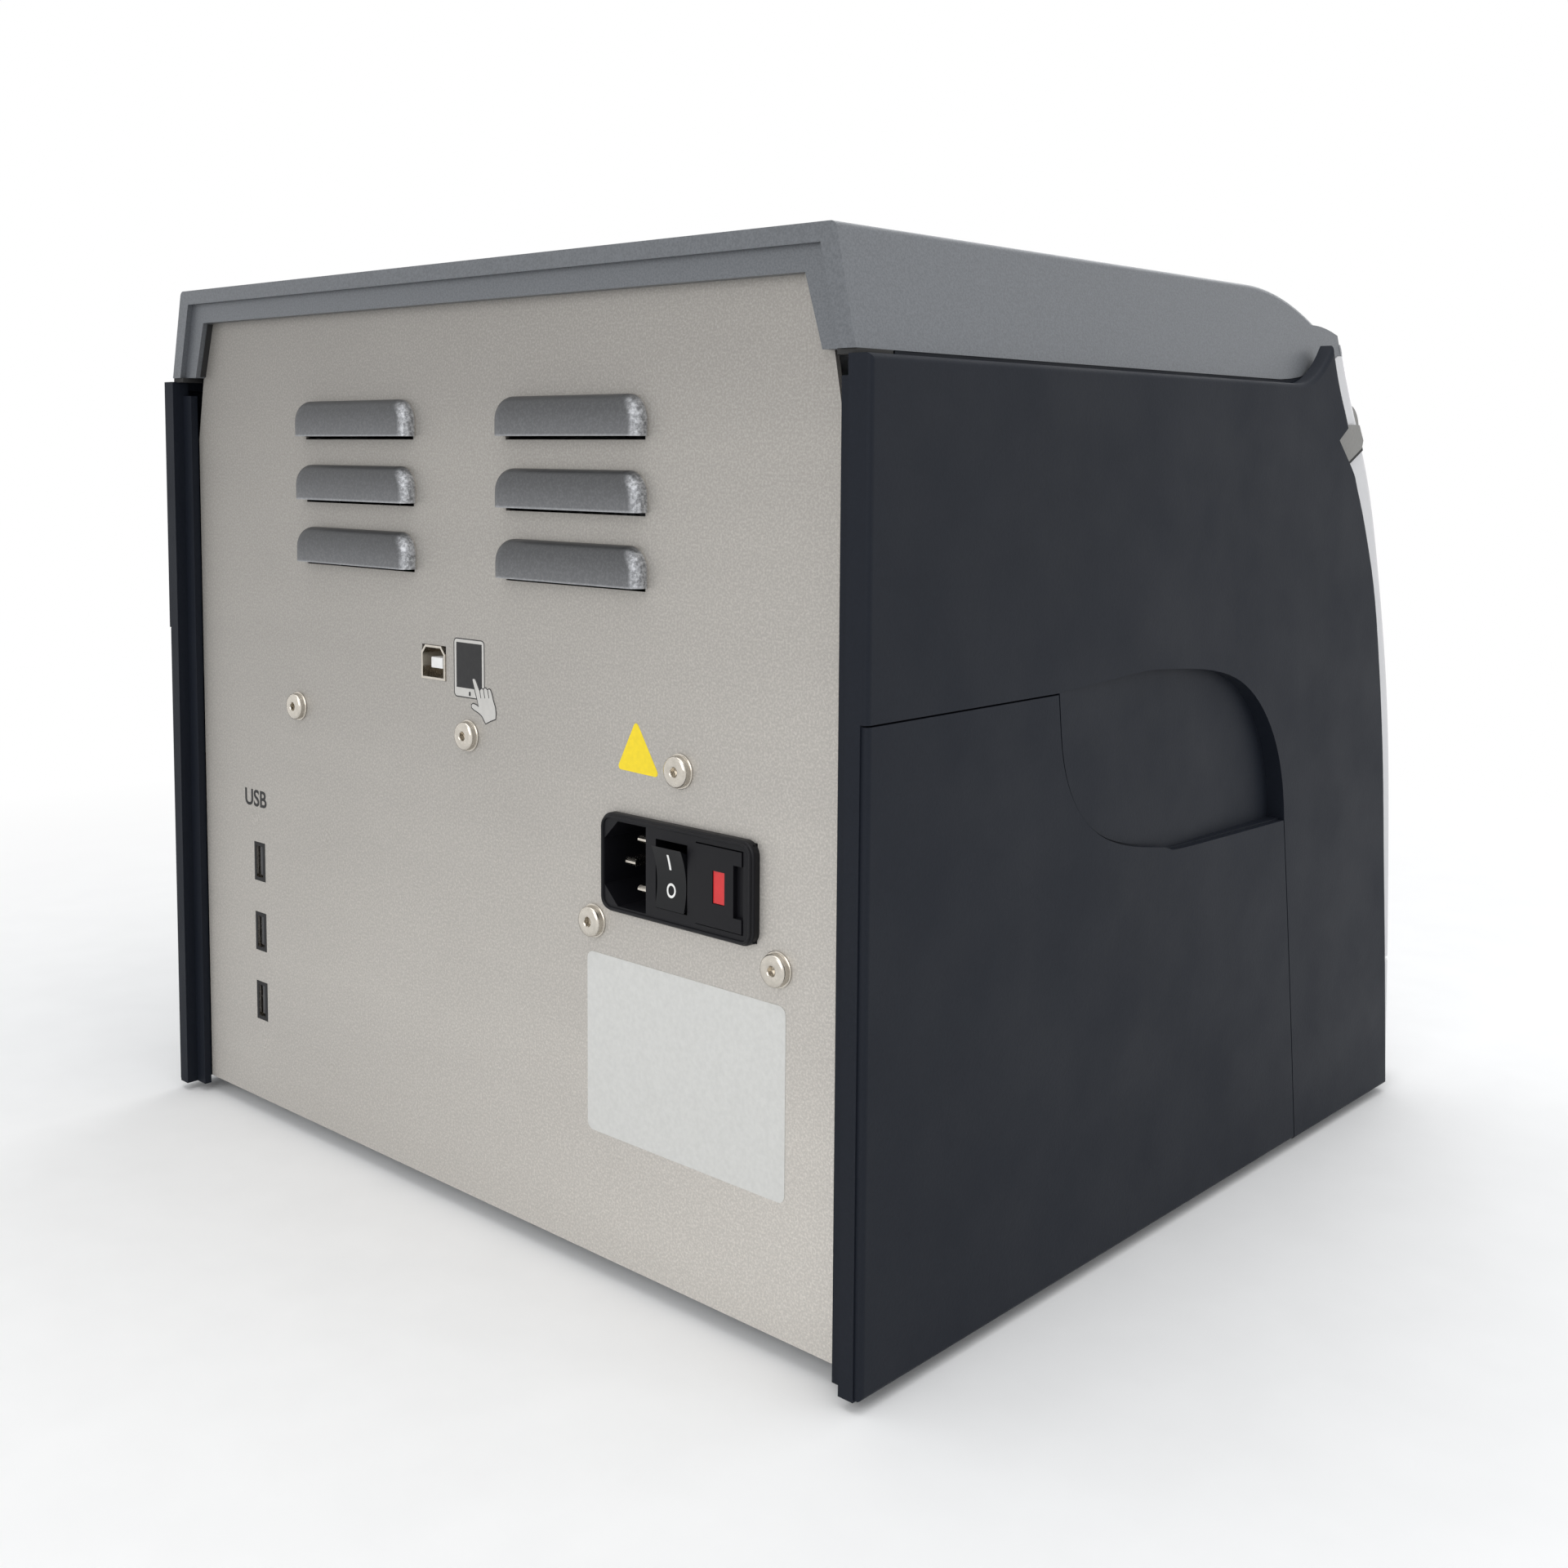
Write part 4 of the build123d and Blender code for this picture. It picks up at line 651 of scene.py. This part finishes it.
# in an upright port: x to x, y to y and half the height
TONGUE = (116.65, 118.15), (147.5, 158.3), 5.1
CONTACT = (116.5, 116.66), (149.0, 157.4), 0.5
PORT_BACK = HOST_X, (147.05, 147.4), HOST_HALF_H
CONTACT_OFFSETS = (-3.5, -1.0, 1.0, 3.5)
CUT_EDGE_X, CUT_EDGE_HALF_H = (113.1, 120.0), 6.9


def rocker_point(x, w):
    """A point of ink on the hollow face of the rocker, w mm above its middle, in metres, at rest."""
    dy = FACE_Y + ROCKER_HOLLOW * w * w + ROCKER_INK - ROCKER_PIVOT_Y
    y = ROCKER_PIVOT_Y + dy * math.cos(ROCKER_TILT) + w * math.sin(ROCKER_TILT)
    z = ROCKER_Z + w * math.cos(ROCKER_TILT) - dy * math.sin(ROCKER_TILT)
    return Vector((x, y, z)) * MM


def ribbon(bm, pairs):
    """Faces along a row of pairs of points."""
    for a, b in zip(pairs, pairs[1:]):
        bm.faces.new((a[0], a[1], b[1], b[0]))


def rocker_marks(bm):
    """I and O, printed on the two halves of the rocker."""
    def point(x, w):
        return bm.verts.new(rocker_point(ROCKER_X + x, w))

    heights = [I_LOW + I_HEIGHT * k / I_STEPS for k in range(I_STEPS + 1)]
    ribbon(bm, [[point(-I_HALF_W, w), point(I_HALF_W, w)] for w in heights])
    angles = [2 * math.pi * k / O_STEPS for k in range(O_STEPS)]
    letter_o = [[point(r * math.cos(a), O_MIDDLE + O_STRETCH * r * math.sin(a)) for r in O_RADII]
                for a in angles]
    ribbon(bm, letter_o + letter_o[:1])


piece("rocker_marks", rocker_marks, WHITE_INK, "rocker")


def inlet_rim(bm):
    """Raised rim round the bezel's face."""
    outer = rounded(box_outline(*BEZEL), RIM_CORNER)
    band(bm, [(shrink(outer, inset), height) for inset, height in RIM], FACE_Y - 0.02)


piece("inlet_rim", inlet_rim, LOOKS["black_plastic"], "chassis", 50.0)


def port_tongue(bm):
    """White contact block of the square port, over the plain tongue."""
    slab(bm, *DEVICE_BLOCK, 0.25)


def host_blocks(bm, x, y, half, bevel=0.0, offsets=(0.0,)):
    """Blocks in each upright port, from x to x and y to y, at each offset from the port's middle."""
    for z in HOST_PORTS_Z:
        for offset in offsets:
            slab(bm, (x[0], y[0], z + offset - half), (x[1], y[1], z + offset + half), bevel)


def host_tongues(bm):
    host_blocks(bm, *TONGUE, 0.15)


def host_contacts(bm):
    """Four sprung contacts on each tongue."""
    host_blocks(bm, *CONTACT, 0.05, CONTACT_OFFSETS)


def host_backs(bm):
    """Dark floor at the back of each upright port."""
    host_blocks(bm, *PORT_BACK)


def host_surrounds(bm):
    """Dark cut edge round each upright port, over the sheet."""
    for z in HOST_PORTS_Z:
        ring_plate(bm, box_outline(*CUT_EDGE_X, z - CUT_EDGE_HALF_H, z + CUT_EDGE_HALF_H),
                   box_outline(*HOST_X, z - HOST_HALF_H, z + HOST_HALF_H), REAR_Y, MARK_T)


piece("host_port_surrounds", host_surrounds, PORT_BLACK, "chassis")
piece("port_tongue_block", port_tongue, PORT_TONGUE, "chassis")
piece("host_port_tongues", host_tongues, PORT_GREY, "chassis")
piece("host_port_contacts", host_contacts, GOLD, "chassis")
piece("host_port_backs", host_backs, PORT_BLACK, "chassis")


# ------------------------------------------------------------ painted shade in the case gaps
SEAM = [(-115.2, 240.0), (-93.2, 229.7), (-93.7, 228.7), (-115.7, 239.0)]       # (y, z) along the door seam
SEAM_X = (158.2, 158.9)
GAP_SHADOW = [(147.1, 262.0), (141.5, 280.2), (141.1, 280.2), (146.7, 262.0)]      # (x, z) beside the sheet
GAP_SHADOW_T = 1.9
# spans of the dark corner strips of painted shadow
CORNER_SHADOW_X, CORNER_SHADOW_Y, CORNER_SHADOW_Z = (153.2, 159.6), (151.0, 164.6), (260.2, 261.75)


def seam_shade(bm):
    """Dark strip of painted shade along the door seam, under each hinge cap."""
    for side in (-1, 1):
        near, far = ([bm.verts.new((side * x * MM, y * MM, z * MM)) for y, z in SEAM] for x in SEAM_X)
        bm.faces.new(near)
        bm.faces.new(far[::-1])
        wall(bm, far, near)


def cover_gap_shadow(bm):
    """Dark strip of painted shadow in the gap between the cover's rear corners and the panels' rear
    flanges.
    """
    for side in (-1, 1):
        across = sorted(side * x for x in CORNER_SHADOW_X)
        slab(bm, *zip(across, CORNER_SHADOW_Y, CORNER_SHADOW_Z), 0.2)


def shadow_strips(bm):
    """Dark strips of painted shadow in the gap between the cover's rear return and the sheet, on both
    sides.
    """
    for side in (-1, 1):
        rear_plate(bm, [(side * x, z) for x, z in GAP_SHADOW], REAR_Y, GAP_SHADOW_T)


piece("seam_shade", seam_shade, LOOKS["foot_rubber"], "chassis")
piece("cover_gap_shadow", cover_gap_shadow, LOOKS["foot_rubber"], "chassis")
piece("cover_shadow_strips", shadow_strips, LOOKS["foot_rubber"], "chassis")
soften(["top_cover"], 0.45, 3, 55.0)
soften(["inlet_housing", "rocker_switch", "fuse_drawer"], 0.25, 2, 50.0)


# ------------------------------------------------------------ stage, light, camera
FLOOR_HALF = 9.0            # metres from the middle of the floor to its edges
WHITE_FROM, WHITE_TO = 0.32, 0.75       # metres from the object over which the floor turns white
SKY, BACKDROP = ((0.96, 0.98, 1.0, 1), 0.5), (grey(1.0), 1.0)       # colour and strength
# name, place, target, width and height, power
LAMPS = [("rear_key", (-0.5, 1.7, 0.9), (0, 0.1, 0.12), (1.6, 1.2), 12.0),
         ("top_soft", (-0.2, 0.1, 1.7), (0, 0, 0.2), (1.8, 1.8), 15.0),
         ("side_fill", (-1.7, -0.5, 0.6), (-0.1, -0.05, 0.12), (1.2, 1.0), 4.5),
         ("front_fill", (0.5, -1.7, 0.9), (0, 0, 0.15), (1.4, 1.2), 9.0)]


def seen_directly(tree):
    """1 for camera, mirror and glass rays, 0 for the rays that light the object."""
    path = tree.nodes.new("ShaderNodeLightPath")
    total = path.outputs["Is Camera Ray"]
    for name in ("Is Glossy Ray", "Is Transmission Ray"):
        add = tree.nodes.new("ShaderNodeMath")
        add.use_clamp = True
        tree.links.new(total, add.inputs[0])
        tree.links.new(path.outputs[name], add.inputs[1])
        total = add.outputs[0]
    return total


def floor_look():
    """Pale matt floor that takes the shadow and turns plain white away from the object."""
    m = Nodes("floor_look")
    m.finish(m.ramp(m.noise(40.0, 2.0), zip(NOISE_SPAN, (grey(0.9), grey(0.92)))), 0.85)
    distance = m.node("ShaderNodeVectorMath", operation="LENGTH")
    m.link(m.coord, distance.inputs[0])
    away = m.node("ShaderNodeMath", operation="MULTIPLY")
    m.link(m.remap(distance.outputs["Value"], 0.0, 1.0, (WHITE_FROM, WHITE_TO)), away.inputs[0])
    m.link(seen_directly(m.tree), away.inputs[1])
    glow = m.node("ShaderNodeEmission")
    mixed = m.node("ShaderNodeMixShader")
    m.link(away.outputs[0], mixed.inputs[0])
    m.link(m.bsdf.outputs[0], mixed.inputs[1])
    m.link(glow.outputs[0], mixed.inputs[2])
    m.link(mixed.outputs[0], m.tree.nodes["Material Output"].inputs["Surface"])
    return m.mat


def stage():
    """A wide floor under the object."""
    bm = bmesh.new()
    square = box_outline(-FLOOR_HALF, FLOOR_HALF, -FLOOR_HALF, FLOOR_HALF)
    bm.faces.new([bm.verts.new((x, y, 0)) for x, y in square])
    mesh = bpy.data.meshes.new("floor")
    bm.to_mesh(mesh)
    bm.free()
    floor = add_object("floor", mesh)
    mesh.materials.append(floor_look())


def world():
    """The sky that lights the object, and the white backdrop where it is seen directly."""
    studio = bpy.data.worlds.new("studio")
    bpy.context.scene.world = studio
    studio.use_nodes = True
    tree = studio.node_tree
    tree.nodes.clear()
    mix = tree.nodes.new("ShaderNodeMixShader")
    tree.links.new(seen_directly(tree), mix.inputs[0])
    for socket, (color, strength) in ((1, SKY), (2, BACKDROP)):
        light = tree.nodes.new("ShaderNodeBackground")
        light.inputs["Color"].default_value = color
        light.inputs["Strength"].default_value = strength
        tree.links.new(light.outputs[0], mix.inputs[socket])
    out = tree.nodes.new("ShaderNodeOutputWorld")
    tree.links.new(mix.outputs[0], out.inputs[0])


def area_light(name, place, target, size, power):
    data = bpy.data.lights.new(name, "AREA")
    data.shape = "RECTANGLE"
    data.size, data.size_y = size
    data.energy = power
    obj = add_object(name, data)
    obj.location = place
    obj.rotation_euler = (Vector(target) - Vector(place)).to_track_quat("-Z", "Y").to_euler()


def camera():
    """Focal length, place and turn follow the photograph's perspective."""
    focal, width = 2154.6, 1920.0           # pixels, as are the next two
    centre_x, centre_y = 952.9, 735.8
    yaw, pitch, roll = (math.radians(a) for a in (222.475, 4.833, 0.402))
    place = Vector((-0.4293, 0.4863, 0.2369))
    forward = Vector((-math.sin(yaw) * math.cos(pitch), math.cos(yaw) * math.cos(pitch), -math.sin(pitch)))
    right = Vector((math.cos(yaw), math.sin(yaw), 0))
    up = right.cross(forward)
    turned_right = right * math.cos(roll) + up * math.sin(roll)
    turned_up = up * math.cos(roll) - right * math.sin(roll)
    data = bpy.data.cameras.new("camera")
    data.sensor_width = 36.0
    data.lens = data.sensor_width * focal / width
    data.shift_x = (width / 2 - centre_x) / width
    data.shift_y = (centre_y - width / 2) / width
    data.clip_start = 0.01
    obj = add_object("camera", data)
    turn = Matrix((turned_right, turned_up, -forward)).transposed().to_4x4()
    obj.matrix_world = Matrix.Translation(place) @ turn
    bpy.context.scene.camera = obj


stage()
world()
for lamp in LAMPS:
    area_light(*lamp)
camera()
bpy.context.scene.view_settings.view_transform = "Standard"
